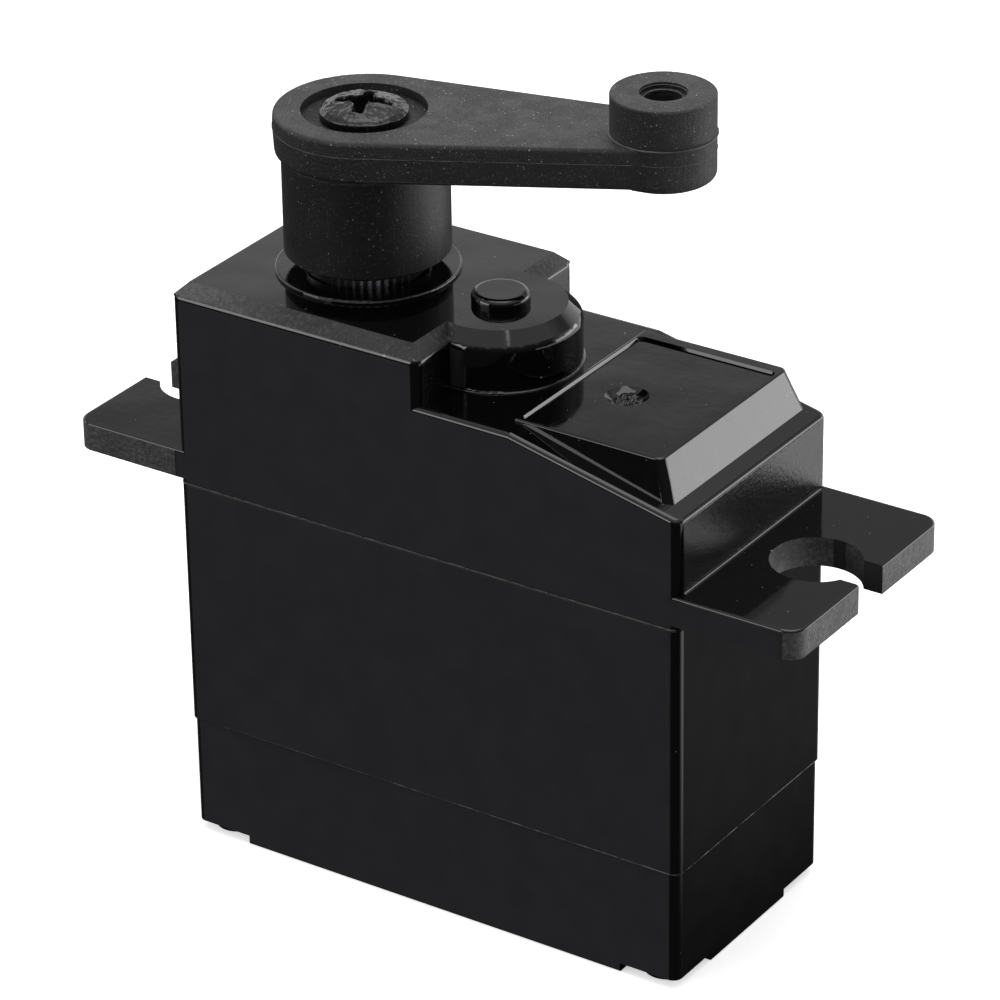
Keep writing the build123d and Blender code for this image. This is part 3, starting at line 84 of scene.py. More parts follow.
class Shader:
    """A node material under construction, with short calls for adding and joining nodes."""

    def __init__(self, name):
        self.material = bpy.data.materials.new(name)
        self.material.use_nodes = True
        self.tree = self.material.node_tree
        self.tree.nodes.clear()
        self.output = self.tree.nodes.new("ShaderNodeOutputMaterial")
        coords = self.tree.nodes.new("ShaderNodeTexCoord").outputs["Object"]
        self.mm = self.vector("SCALE", coords, Scale=1 / MM)

    def node(self, kind, inputs=None, **settings):
        """Adds a node; inputs maps socket names or numbers to values or to other sockets."""
        made = self.tree.nodes.new(kind)
        for key, value in settings.items():
            setattr(made, key, value)
        for key, value in (inputs or {}).items():
            if isinstance(value, bpy.types.NodeSocket):
                self.tree.links.new(value, made.inputs[key])
            else:
                made.inputs[key].default_value = value
        return made

    def math(self, operation, a, b=0.0, clamp=False):
        made = self.node("ShaderNodeMath", {0: a, 1: b}, operation=operation, use_clamp=clamp)
        return made.outputs[0]

    def vector(self, operation, a, b=(0, 0, 0), **named):
        inputs = {0: a, 1: b}
        inputs.update(named)
        return self.node("ShaderNodeVectorMath", inputs, operation=operation).outputs[0]

    def split(self, vector):
        made = self.node("ShaderNodeSeparateXYZ", {0: vector})
        return made.outputs[0], made.outputs[1], made.outputs[2]

    def noise(self, scale, detail=2.0, rough=0.5, at=None, stretch=None):
        """Noise with scale in cycles per millimetre, from 0 to 1."""
        place = self.mm if at is None else at
        if stretch is not None:
            place = self.vector("MULTIPLY", place, stretch)
        inputs = {"Vector": place, "Scale": scale, "Detail": detail, "Roughness": rough}
        return self.node("ShaderNodeTexNoise", inputs).outputs[0]

    def ramp(self, value, low, high, to_low=0.0, to_high=1.0, smooth=True):
        """Maps value from low..high to to_low..to_high, held outside."""
        made = self.node(
            "ShaderNodeMapRange",
            {0: value, 1: low, 2: high, 3: to_low, 4: to_high},
            interpolation_type="SMOOTHSTEP" if smooth else "LINEAR",
        )
        return made.outputs[0]

    def mix(self, factor, a, b):
        """Mixes two colours."""
        made = self.node("ShaderNodeMix", {0: factor, 6: a, 7: b}, data_type="RGBA")
        return made.outputs[2]

    def blend(self, factor, a, b):
        """Mixes two numbers."""
        return self.node("ShaderNodeMix", {0: factor, 2: a, 3: b}, data_type="FLOAT").outputs[0]

    def specks(self, scale, size, share, seed=0.0):
        """Small round specks: 1 inside a speck, 0 outside; share is how many cells hold one."""
        place = self.vector("ADD", self.mm, (seed, 1.7 * seed, 2.3 * seed))
        cells = self.node("ShaderNodeTexVoronoi", {"Vector": place, "Scale": scale})
        chosen = self.math("LESS_THAN", self.split(cells.outputs["Color"])[0], share)
        near = self.ramp(cells.outputs["Distance"], size, 0.6 * size)
        return self.math("MULTIPLY", chosen, near)

    def bump(self, height, depth, normal=None):
        """Bump from a height of 0 to 1 that stands for depth millimetres."""
        distance = self.math("MULTIPLY", depth, MM)
        inputs = {"Height": height, "Distance": distance, "Strength": 1.0}
        if normal is not None:
            inputs["Normal"] = normal
        return self.node("ShaderNodeBump", inputs).outputs[0]

    def finish(self, **inputs):
        """Adds the surface; keywords are its inputs, with _ for a space."""
        named = {key.replace("_", " "): value for key, value in inputs.items()}
        surface = self.node("ShaderNodeBsdfPrincipled", named)
        self.tree.links.new(surface.outputs[0], self.output.inputs[0])
        return self.material


def grey(level, tint=1.0):
    """A neutral colour, slightly cool when tint is above 1."""
    return (level, level, level * tint, 1.0)


# ---------------------------------------------------------------- black plastics


def case_plastic(name, seed, low_z):
    """Black moulding: mirror-gloss tops and edges, matte flat sides painted a lighter grey, worn
    bevels and lug sides.

    End walls are matte and painted a darker grey below low_z, in millimetres, and leathery above it.
    The seed shifts the patterns, so that the shells differ.
    """
    s = Shader(name)
    facing = s.split(s.node("ShaderNodeNewGeometry").outputs["Normal"])
    x_lift, y_lift, z_lift = (s.math("ABSOLUTE", part) for part in facing)
    x_mm, y_mm, z_mm = s.split(s.mm)

    past_left = s.ramp(x_mm, CASE_X_MIN - 0.2, CASE_X_MIN - 0.1)
    before_tip = s.ramp(x_mm, LUG_X_MAX + 0.05, LUG_X_MAX - 0.05)
    on_case = s.math("MULTIPLY", past_left, before_tip)
    side = s.math("MULTIPLY", s.ramp(y_lift, 0.985, 0.998), on_case)
    end_wall = s.ramp(x_lift, 0.985, 0.998)
    end = s.math("MULTIPLY", end_wall, s.ramp(z_mm, low_z + 0.1, low_z))
    matte = s.math("MAXIMUM", side, end)
    on_left_lug = s.ramp(x_mm, CASE_X_MIN - 0.1, CASE_X_MIN - 0.2)
    on_right_lug = s.ramp(x_mm, CASE_X_MAX + 0.2, CASE_X_MAX + 0.3)
    off_case = s.math("MAXIMUM", on_left_lug, on_right_lug)
    lug_side = s.math("MULTIPLY", off_case, s.ramp(z_lift, 0.3, 0.2))
    lug_side = s.math("MULTIPLY", lug_side, s.math("SUBTRACT", 1.0, matte))
    bevel = s.math("MULTIPLY", s.ramp(z_lift, 0.5, 0.65), s.ramp(z_lift, 0.9, 0.8))
    bevel = s.math("MULTIPLY", bevel, s.ramp(z_mm, BEVEL_FOOT_Z - 0.1, BEVEL_FOOT_Z + 0.1))
    on_block = s.ramp(x_mm, BLOCK_X_MAX + 0.05, BLOCK_X_MAX - 0.05)
    y_reach = s.math("ABSOLUTE", y_mm)
    beside_boss = s.ramp(y_reach, BOSS_HALF_WIDTH - 0.05, BOSS_HALF_WIDTH + 0.05)
    off_boss = s.math("MAXIMUM", on_block, beside_boss)
    bevel = s.math("MULTIPLY", bevel, off_boss)
    eroded = s.math("MAXIMUM", lug_side, bevel)
    leather = s.math("MULTIPLY", end_wall, s.math("SUBTRACT", 1.0, matte))

    shifted = s.vector("ADD", s.mm, (seed, seed, seed))
    waves = s.noise(0.22, 1.0, 0.5, at=shifted)
    peel = s.noise(2.4, 2.0, 0.55, at=shifted)
    grain = s.noise(9.0, 3.0, 0.6, at=shifted)
    pits = s.noise(4.5, 5.0, 0.7, at=shifted)
    patches = s.ramp(s.noise(0.6, 2.0, 0.5, at=shifted), 0.35, 0.65)

    dust = s.specks(1.1, 0.07, 0.28, seed)
    lint = s.specks(3.3, 0.1, 0.09, seed + 7.0)
    marks = s.math("MAXIMUM", dust, lint)
    marks = s.math("MULTIPLY", marks, s.math("SUBTRACT", 1.0, matte))
    hair = s.noise(1.0, 1.0, 0.4, stretch=(0.25, 2.6, 1.0), at=shifted)
    scratch = s.ramp(s.math("ABSOLUTE", s.math("SUBTRACT", hair, 0.5)), 0.004, 0.0)
    scratch = s.math("MULTIPLY", scratch, s.ramp(waves, 0.52, 0.6))

    gloss = s.math("ADD", s.ramp(peel, 0.3, 0.8, 0.05, 0.09), s.math("MULTIPLY", scratch, 0.12))
    worn = s.blend(patches, 0.3, 0.5)
    rough = s.blend(matte, s.blend(eroded, gloss, worn), 0.55)
    base = s.mix(peel, grey(0.0008, 1.1), grey(0.0018, 1.1))
    torn = s.mix(s.ramp(pits, 0.5, 0.66), grey(0.002), s.mix(patches, grey(0.02), grey(0.05)))
    near_corner = s.ramp(x_mm, 1.0, -6.0)
    scuffed = s.mix(s.ramp(pits, 0.35, 0.7), grey(0.035), s.mix(patches, grey(0.08), grey(0.11)))
    torn = s.mix(s.math("MAXIMUM", s.math("MULTIPLY", near_corner, bevel), lug_side), torn, scuffed)
    base = s.mix(eroded, base, torn)
    # Painted light and shade by facing: flat side walls get a lighter grey and matte end walls a
    # darker grey, in the same plastic.
    base = s.mix(side, base, s.mix(patches, grey(0.024, 1.12), grey(0.027, 1.1)))
    base = s.mix(end, base, s.mix(patches, grey(0.006, 1.1), grey(0.008, 1.1)))
    base = s.mix(s.math("MULTIPLY", marks, 0.8), base, grey(0.32))

    normal = s.bump(waves, 0.02)
    normal = s.bump(peel, 0.0012, normal)
    normal = s.bump(grain, 0.0005, normal)
    normal = s.bump(s.math("MULTIPLY", pits, eroded), 0.1, normal)
    normal = s.bump(s.math("MULTIPLY", pits, leather), 0.03, normal)
    return s.finish(
        Base_Color=base,
        Roughness=rough,
        IOR=1.5,
        Specular_IOR_Level=s.blend(end, s.blend(side, 0.5, 0.15), 0.03),
        Normal=normal,
    )


def horn_plastic():
    """Granular black moulding full of pale specks, painted lighter on up-facing faces; the hub below
    the head is smoother.
    """
    s = Shader("horn_plastic")
    _, _, z_mm = s.split(s.mm)
    facing = s.split(s.node("ShaderNodeNewGeometry").outputs["Normal"])
    top = s.ramp(facing[2], 0.2, 0.8)
    hub = s.ramp(z_mm, HUB_TOP_Z + 0.1, HUB_TOP_Z - 0.1)
    grain = s.noise(8.0, 5.0, 0.75)
    patches = s.noise(0.9, 2.0, 0.5)
    fine = s.specks(9.0, 0.3, 0.3)
    coarse = s.specks(4.0, 0.16, 0.24, 3.0)
    rare = s.specks(2.2, 0.1, 0.2, 9.0)
    marks = s.math("MAXIMUM", s.math("MULTIPLY", fine, 0.35), s.math("MAXIMUM", coarse, rare))
    # Painted light from above: up-facing faces get a lighter tone and stronger specks than the
    # sides.
    marks = s.math("MULTIPLY", marks, s.blend(hub, s.blend(top, 0.6, 0.85), 0.4))
    painted_top_tone = s.mix(top, grey(0.011), s.mix(patches, grey(0.021), grey(0.03)))
    body = s.mix(s.ramp(grain, 0.35, 0.65), grey(0.004), painted_top_tone)
    base = s.mix(hub, body, s.mix(patches, grey(0.008), grey(0.014)))
    base = s.mix(marks, base, grey(0.5))
    return s.finish(
        Base_Color=base,
        Roughness=s.blend(hub, s.ramp(patches, 0.3, 0.7, 0.42, 0.55), 0.34),
        IOR=1.5,
        Normal=s.bump(grain, s.blend(hub, 0.09, 0.02)),
    )


def black_screw():
    """Blackened steel, worn pale in small spots."""
    s = Shader("black_screw")
    worn = s.ramp(s.noise(2.5, 4.0, 0.7), 0.6, 0.76)
    grain = s.noise(6.0, 3.0, 0.6)
    base = s.mix(worn, grey(0.003), grey(0.12))
    return s.finish(
        Base_Color=base,
        Metallic=s.blend(worn, 0.0, 0.8),
        Roughness=s.ramp(grain, 0.3, 0.7, 0.14, 0.3),
        Normal=s.bump(grain, 0.02),
    )


def torn_plastic():
    """Shiny torn plastic, blackish with pale stress marks."""
    s = Shader("torn_plastic")
    stress = s.ramp(s.noise(3.5, 4.0, 0.7), 0.62, 0.74)
    return s.finish(
        Base_Color=s.mix(stress, grey(0.002), grey(0.03)),
        Roughness=s.ramp(s.noise(6.0), 0.3, 0.7, 0.06, 0.25),
        Normal=s.bump(s.noise(7.0, 3.0), 0.03),
    )


# ---------------------------------------------------------------- other materials


def colour(red, green, blue):
    return (red, green, blue, 1.0)


def moulded(name, tone, rough=0.45, grain=0.01):
    """Moulded plastic or rubber: mottled tone, fine grain and faint flow marks."""
    s = Shader(name)
    mottle = s.noise(1.2, 3.0, 0.55)
    fine = s.noise(8.0, 3.0, 0.6)
    dark = tuple(0.75 * part for part in tone[:3]) + (1.0,)
    marks = s.specks(3.0, 0.08, 0.05)
    base = s.mix(s.math("MULTIPLY", marks, 0.4), s.mix(mottle, dark, tone), grey(0.5))
    return s.finish(
        Base_Color=base,
        Roughness=s.ramp(mottle, 0.3, 0.7, rough - 0.06, rough + 0.08),
        Normal=s.bump(fine, grain),
    )


def metal(name, tone, rough=0.3, stretch=(1.0, 1.0, 1.0), scale=6.0):
    """Machined or drawn metal: tool lines along the stretched direction, and dull patches."""
    s = Shader(name)
    lines = s.noise(scale, 3.0, 0.6, stretch=stretch)
    patches = s.noise(0.8, 2.0, 0.5)
    dark = tuple(0.7 * part for part in tone[:3]) + (1.0,)
    return s.finish(
        Base_Color=s.mix(s.ramp(lines, 0.3, 0.7), dark, tone),
        Metallic=1.0,
        Roughness=s.ramp(patches, 0.3, 0.7, rough - 0.08, rough + 0.1),
        Normal=s.bump(lines, 0.01),
    )


def layered(name, tone, gap, direction, pitch, metallic):
    """Stacked sheets or wound wire: ridges at a pitch in millimetres along one direction."""
    s = Shader(name)
    along = s.vector("MULTIPLY", s.mm, direction)
    x, y, z = s.split(along)
    phase = s.math("MULTIPLY", s.math("ADD", s.math("ADD", x, y), z), 2 * pi / pitch)
    ridge = s.ramp(s.math("SINE", phase), -1.0, 1.0)
    mottle = s.noise(2.0, 3.0, 0.6)
    base = s.mix(s.ramp(ridge, 0.1, 0.6), gap, tone)
    return s.finish(
        Base_Color=s.mix(s.math("MULTIPLY", mottle, 0.3), base, gap),
        Metallic=metallic,
        Roughness=s.ramp(mottle, 0.3, 0.7, 0.28, 0.45),
        Normal=s.bump(ridge, 0.04),
    )


def circuit_board(name, tone, track):
    """Solder mask over a net of copper tracks, with bare pads."""
    s = Shader(name)
    squares = s.node(
        "ShaderNodeTexBrick",
        {"Vector": s.mm, "Color1": grey(0.0), "Color2": grey(1.0), "Mortar": grey(0.5)},
        offset=0.35,
    )
    squares.inputs["Scale"].default_value = 0.9
    squares.inputs["Mortar Size"].default_value = 0.05
    lines = squares.outputs["Fac"]
    pads = s.specks(0.8, 0.25, 0.3)
    base = s.mix(lines, tone, track)
    base = s.mix(pads, base, colour(0.75, 0.7, 0.55))
    weave = s.noise(5.0, 2.0, 0.5)
    return s.finish(
        Base_Color=base,
        Metallic=s.math("MULTIPLY", pads, 0.8),
        Roughness=s.ramp(weave, 0.3, 0.7, 0.25, 0.4),
        Normal=s.bump(s.math("ADD", lines, weave), 0.015),
    )


def assign(material, *names):
    """Gives a material to CAD nodes."""
    for name in names:
        piece = nodes[name]
        piece.data.materials.clear()
        piece.data.materials.append(material)


assign(case_plastic("case_plastic_top", 0.0, LUG_BOTTOM_Z), "top_case")
assign(case_plastic("case_plastic_middle", 11.0, END_WALL_TOP_Z), "middle_case")
assign(case_plastic("case_plastic_bottom", 23.0, END_WALL_TOP_Z), "bottom_case")
assign(horn_plastic(), "servo_horn")
screw_black = black_screw()
assign(screw_black, "horn_screw", "case_screws")
brass = colour(0.80, 0.60, 0.27)
steel = colour(0.62, 0.63, 0.65)
assign(metal("turned_steel", colour(0.24, 0.24, 0.26), 0.36, (1, 1, 6)), "output_gear")
assign(
    metal("turned_brass", brass, 0.28, (1, 1, 6)),
    "third_gear",
    "second_gear",
    "motor_pinion",
)
assign(moulded("gear_nylon", colour(0.82, 0.81, 0.75), 0.4), "first_gear", "pot_shaft")
assign(
    metal("bearing_steel", colour(0.72, 0.73, 0.75), 0.16, (1, 1, 5)),
    "bearing_outer_race",
    "bearing_inner_race",
    "bearing_balls",
)
assign(metal("sintered_bronze", colour(0.58, 0.40, 0.2), 0.5), "lower_bush", "motor_bush")
assign(
    metal("ground_steel", steel, 0.22, (5, 5, 1)),
    "first_gear_pin",
    "second_gear_pin",
    "motor_shaft",
    "motor_screws",
)
assign(metal("plated_can", colour(0.68, 0.68, 0.67), 0.3, (1, 1, 8), 3.0), "motor_can")
assign(moulded("ferrite", colour(0.06, 0.06, 0.065), 0.6, 0.03), "motor_magnets")
assign(moulded("cap_nylon", colour(0.8, 0.78, 0.7), 0.45), "motor_end_cap")
assign(
    metal("contact_brass", colour(0.82, 0.66, 0.36), 0.25, (4, 1, 1)),
    "motor_terminals",
    "pot_wiper",
    "pot_terminals",
    "connector_contacts",
)
assign(
    layered("core_laminations", grey(0.4), grey(0.06), (0, 0, 1), 0.35, 1.0),
    "armature_core",
)
assign(
    layered("copper_turns", colour(0.7, 0.3, 0.13), colour(0.2, 0.06, 0.02), (0, 0, 1), 0.18, 0.9),
    "armature_windings",
)
assign(metal("turned_copper", colour(0.75, 0.38, 0.2), 0.25, (1, 1, 6)), "commutator")
assign(moulded("pot_plastic", colour(0.05, 0.11, 0.28), 0.4), "pot_body")
assign(moulded("phenolic", colour(0.28, 0.15, 0.07), 0.5), "pot_base")
assign(moulded("carbon_film", grey(0.03), 0.6, 0.02), "pot_track")
assign(
    circuit_board("green_board", colour(0.02, 0.13, 0.05), colour(0.05, 0.25, 0.1)),
    "control_board",
)
assign(moulded("chip_epoxy", grey(0.03), 0.5, 0.02), "controller_chip", "driver_chips")
assign(moulded("fired_ceramic", colour(0.45, 0.33, 0.2), 0.3), "chip_capacitors")
assign(moulded("inner_wire_pvc", colour(0.5, 0.04, 0.03), 0.4), "motor_wires", "pot_wires")
assign(moulded("grommet_rubber", grey(0.02), 0.6, 0.02), "cable_grommet")
assign(moulded("orange_pvc", colour(0.75, 0.24, 0.02), 0.38, 0.006), "signal_wire")
assign(moulded("red_pvc", colour(0.55, 0.02, 0.02), 0.38, 0.006), "positive_wire")
assign(moulded("brown_pvc", colour(0.11, 0.045, 0.02), 0.38, 0.006), "ground_wire")
assign(moulded("connector_plastic", grey(0.02), 0.42, 0.015), "connector_housing")


# ---------------------------------------------------------------- modelled details


def wobble(seed, x, y, z, scale=1.0):
    """Smooth fixed noise at a place, from -1 to 1."""
    shift = 3.7 * seed
    return noise.noise(Vector((scale * x + shift, scale * y - shift, scale * z + 0.5 * shift)))


def step(start, end, value):
    """0 up to start, 1 from end on and a smooth change between; start may be the greater."""
    share = min(1.0, max(0.0, (value - start) / (end - start)))
    return share * share * (3 - 2 * share)


def add_piece(name, points, faces, material, body, slot):
    """A smooth-shaded mesh from points in the given material, riding a body; slot is not used."""
    mesh = bpy.data.meshes.new(name)
    mesh.from_pydata([tuple(MM * part for part in point) for point in points], [], faces)
    mesh.polygons.foreach_set("use_smooth", [True] * len(mesh.polygons))
    mesh.materials.append(material)
    piece = bpy.data.objects.new(name, mesh)
    bpy.context.scene.collection.objects.link(piece)
    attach(piece, body)
    return piece


def ring_faces(rings, spokes):
    """Quads between consecutive closed rings of points."""
    faces = []
    for ring in range(rings - 1):
        low, high = ring * spokes, (ring + 1) * spokes
        for spoke in range(spokes):
            after = (spoke + 1) % spokes
            faces.append((low + spoke, low + after, high + after, high + spoke))
    return faces


def capped_disc_faces(rings, spokes):
    """The faces of a closed solid whose rings run from its upper middle round to its underside."""
    faces = ring_faces(rings, spokes)
    faces.append(tuple(reversed(range(spokes))))
    faces.append(tuple(range((rings - 1) * spokes, rings * spokes)))
    return [tuple(reversed(face)) for face in faces]


def bead(name, path, radius, ragged, material, place, closed=True, scale=1.5):
    """A thin bead of flash along a level path.

    ragged is how strongly its thickness varies, scale how quickly along the path, and place
    the body that it rides and a material slot, which is not used.
    """
    sides = 6
    thinnest = 0.15
    points = []
    count = len(path)
    for n, (x, y, z) in enumerate(path):
        before = path[(n - 1) % count] if closed or n else path[0]
        after = path[(n + 1) % count] if closed or n < count - 1 else path[-1]
        along = Vector((after[0] - before[0], after[1] - before[1], 0)).normalized()
        swell = 1 + ragged * (wobble(1, x, y, z, scale) + wobble(2, x, y, z, 5 * scale))
        size = radius * max(thinnest, swell)
        for side in range(sides):
            angle = tau * side / sides
            out, lift = size * cos(angle), size * sin(angle)
            points.append((x - along.y * out, y + along.x * out, z + lift))
    faces = ring_faces(count, sides)
    if closed:
        last = (count - 1) * sides
        for side in range(sides):
            after = (side + 1) % sides
            faces.append((last + side, last + after, after, side))
    else:
        faces.append(tuple(reversed(range(sides))))
        faces.append(tuple(range((count - 1) * sides, count * sides)))
    return add_piece(name, points, faces, material, *place)


def arc(centre_x, centre_y, z, radius, start, end, spacing=0.12):
    """Points along a level arc, angles in radians."""
    count = max(3, int(abs(end - start) * radius / spacing))
    angles = [start + (end - start) * n / count for n in range(count)]
    return [(centre_x + radius * cos(a), centre_y + radius * sin(a), z) for a in angles]


def straight(start, end, spacing=0.12):
    """Points along a straight line, without its end."""
    count = max(2, int((Vector(end) - Vector(start)).length / spacing))
    return [tuple(Vector(start).lerp(Vector(end), n / count)) for n in range(count)]


def turned(path):
    """A path drawn with the arm along +X, turned to the arm's direction at rest."""
    c, t = cos(HORN_TURN), sin(HORN_TURN)
    return [(c * x - t * y, t * x + c * y, z) for x, y, z in path]


def horn_seam():
    """The moulding joint round the horn: head, straight sides and boss."""
    short = 1.2  # the sides end this far short of the tip circle, where they meet the boss
    widening = 0.17
    lean = radians(90) - atan2(HEAD_RADIUS - TIP_RADIUS, HORN_LENGTH)
    side_start = (HEAD_RADIUS * cos(lean), HEAD_RADIUS * sin(lean))
    end_x = HORN_LENGTH + TIP_RADIUS * cos(lean) - short
    side_end = (end_x, TIP_RADIUS * sin(lean) + widening)
    z = HORN_PARTING_Z
    boss_lean = atan2(side_end[1], side_end[0] - HORN_LENGTH)
    path = arc(0, 0, z, HEAD_RADIUS, lean, tau - lean)
    path += straight((side_start[0], -side_start[1], z), (side_end[0], -side_end[1], z))
    path += arc(HORN_LENGTH, 0, z, BOSS_RADIUS, -boss_lean, boss_lean)
    path += straight((side_end[0], side_end[1], z), (side_start[0], side_start[1], z))
    return turned(path)


def case_seam(z, inset):
    """The joint between two case shells, round the case."""
    x_low, x_high = CASE_X_MIN + inset, CASE_X_MAX - inset
    y_high = CASE_HALF_WIDTH - inset
    inner = CASE_CORNER - inset
    spacing = 0.15
    path = []
    corners = (
        (x_high, y_high, 0),
        (x_low, y_high, pi / 2),
        (x_low, -y_high, pi),
        (x_high, -y_high, 3 * pi / 2),
    )
    for x, y, start in corners:
        centre_x = x - inner if x > 0 else x + inner
        centre_y = y - inner if y > 0 else y + inner
        turn = arc(centre_x, centre_y, z, inner, start, start + pi / 2)
        if path:
            path += straight(path[-1], turn[0], spacing)
        path += turn
    path += straight(path[-1], path[0], spacing)
    return path


def screw_face(x, y):
    """Height of the horn screw's worn face: a dome with a cross recess and burred edges."""
    rim_start, rim_drop = 1.9, 0.12
    wing_half_width, wing_taper, wing_reach = 0.4, 0.08, 1.42
    core_radius = 0.68
    wing_depth, core_depth = 0.55, 0.75
    wall_run = 0.16

    reach = hypot(x, y)
    face = SCREW_RIM_Z + (SCREW_TOP_Z - SCREW_RIM_Z) * (1 - (reach / SCREW_RADIUS) ** 2)
    face -= rim_drop * step(rim_start, SCREW_RADIUS, reach)
    face += 0.05 * wobble(3, x, y, 0, 1.3) + 0.03 * wobble(4, x, y, 0, 5)
    angle = atan2(y, x) - SCREW_TURN
    along, across = abs(reach * cos(angle)), abs(reach * sin(angle))
    ragged = 0.06 * wobble(5, x, y, 0, 4)
    wing = wing_half_width - wing_taper * max(along, across) + ragged
    inside = max(
        min(wing - across, wing_reach + ragged - along),
        min(wing - along, wing_reach + ragged - across),
        core_radius + ragged - reach,
    )
    depth = wing_depth + core_depth * step(1.3, 0.2, reach)
    face -= depth * step(0.0, wall_run, inside)
    burr = step(-0.2, -0.03, inside) * step(0.05, -0.03, inside)
    return face + burr * (0.05 + 0.1 * wobble(6, x, y, 0, 2))


def horn_screw_piece():
    """The horn screw with its worn face, standing for the plain one."""
    spokes, rings = 240, 84
    points = []
    for ring in range(1, rings + 1):
        reach = SCREW_RADIUS * ring / rings
        for spoke in range(spokes):
            angle = tau * spoke / spokes
            x, y = reach * cos(angle), reach * sin(angle)
            points.append((x, y, screw_face(x, y)))
    flank_top_z = SCREW_RIM_Z - 0.2
    tip_radius = 0.2
    outline = (
        (SCREW_RADIUS, flank_top_z),
        (SCREW_RADIUS, SCREW_SEAT_Z),
        (SCREW_SHANK_RADIUS, SCREW_SEAT_Z),
        (SCREW_SHANK_RADIUS, SCREW_TIP_Z),
        (tip_radius, SCREW_TIP_Z),
    )
    for reach, z in outline:
        for spoke in range(spokes):
            angle = tau * spoke / spokes
            points.append((reach * cos(angle), reach * sin(angle), z))
    faces = capped_disc_faces(rings + len(outline), spokes)
    piece = add_piece(
        "worn_horn_screw", points, faces, screw_black, "output_shaft", "black_screw"
    )
    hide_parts("horn_screw")


def gate_scar():
    """Torn plastic where the mould's gate broke off, at the bottom of the pad's dimple."""
    spokes, rings = 72, 20
    radius = 0.8
    stretch = 1.1
    lump_height = 0.24
    thickness = 0.15
    sunk = 0.01
    widest = 1.4  # square of the widest reach that the bowl's height is worked out for
    points = []
    for ring in range(1, rings + 1):
        reach = radius * ring / rings
        for spoke in range(spokes):
            angle = tau * spoke / spokes
            x, y = reach * cos(angle), stretch * reach * sin(angle)
            bowl = DIMPLE_BALL_Z - (DIMPLE_BALL**2 - min(x * x + y * y, widest)) ** 0.5
            torn = 0.5 + 0.9 * wobble(7, x, y, 0, 2.6) + 0.5 * wobble(8, x, y, 0, 7)
            lift = lump_height * max(0.0, torn) * step(radius, 0.5 * radius, reach)
            points.append((DIMPLE_CENTRE[0] + x, DIMPLE_CENTRE[1] + y, bowl - sunk + lift))
    points += [(x, y, z - thickness) for x, y, z in points[-spokes:]]
    faces = capped_disc_faces(rings + 1, spokes)
    add_piece("gate_scar", points, faces, torn_plastic(), "case", "case_top")


def horn_flash(material, pale):
    """Flash on the horn: its seam, the foot of its boss, the link hole's steps, loose flecks."""
    place = ("output_shaft", "horn")
    tip_x, tip_y = HORN_LENGTH * cos(HORN_TURN), HORN_LENGTH * sin(HORN_TURN)
    foot_z, foot_radius = HORN_TOP_Z + 0.01, BOSS_RADIUS + 0.02
    lip_z, lip_radius = BOSS_TOP_Z - 0.3, 0.92
    thread_z, thread_radius = BOSS_TOP_Z - 0.14, 1.15
    fine = 0.06
    foot = arc(tip_x, tip_y, foot_z, foot_radius, 0, tau)
    lip = arc(tip_x, tip_y, lip_z, lip_radius, 0, tau, fine)
    thread = arc(tip_x, tip_y, thread_z, thread_radius, 0, tau, fine)
    flecks_start, flecks_end = radians(-44), radians(-18)
    flecks = arc(0, 0, HORN_PARTING_Z, HEAD_RADIUS + 0.02, flecks_start, flecks_end, 0.04)
    bead("horn_seam_flash", horn_seam(), 0.018, 0.9, material, place)
    bead("boss_foot_flash", foot, 0.05, 0.7, material, place)
    bead("link_hole_lip", lip, 0.04, 0.6, material, place)
    bead("link_hole_thread", thread, 0.035, 0.5, material, place)
    bead("head_flash_flecks", flecks, 0.06, 1.6, pale, place, closed=False, scale=3.0)


def case_flash(material):
    """Flash on the case: both joints, and a burr under the end wall's top edge, all in a light grey
    that paints a highlight line.
    """
    sunk = 0.02
    upper, lower = case_seam(JOINT_Z, sunk), case_seam(LOW_JOINT_Z, sunk)
    burr_x = CASE_X_MAX - 0.03
    burr_reach = 6.1
    burr_z = 24.98
    burr = straight((burr_x, -burr_reach, burr_z), (burr_x, burr_reach, burr_z), 0.04)
    bead("upper_joint_flash", upper, 0.03, 0.9, material, ("case", "case_middle"))
    bead("lower_joint_flash", lower, 0.035, 0.5, material, ("case", "case_middle"))
    bead("end_wall_highlight_burr", burr, 0.05, 0.5, material, ("case", "case_top"), closed=False, scale=2.0)


horn_screw_piece()
gate_scar()
# Light grey on the flash beads is a painted highlight along the seams, the boss foot, the link
# hole's steps and the end wall's burr.
painted_highlight_flash = moulded("painted_highlight_flash", grey(0.07), 0.4, 0.01)
pale_flash = moulded("pale_flash", grey(0.3), 0.4, 0.01)
horn_flash(painted_highlight_flash, pale_flash)
case_flash(painted_highlight_flash)


# ---------------------------------------------------------------- camera

CAMERA_AZIMUTH = radians(33.966)
CAMERA_ELEVATION = radians(27.438)
CAMERA_ROLL = radians(-0.868)
CAMERA_DISTANCE = 240.86 * MM
CAMERA_TARGET = Vector((6.85, 0.782, 19.056)) * MM
CAMERA_LENS = 179.416


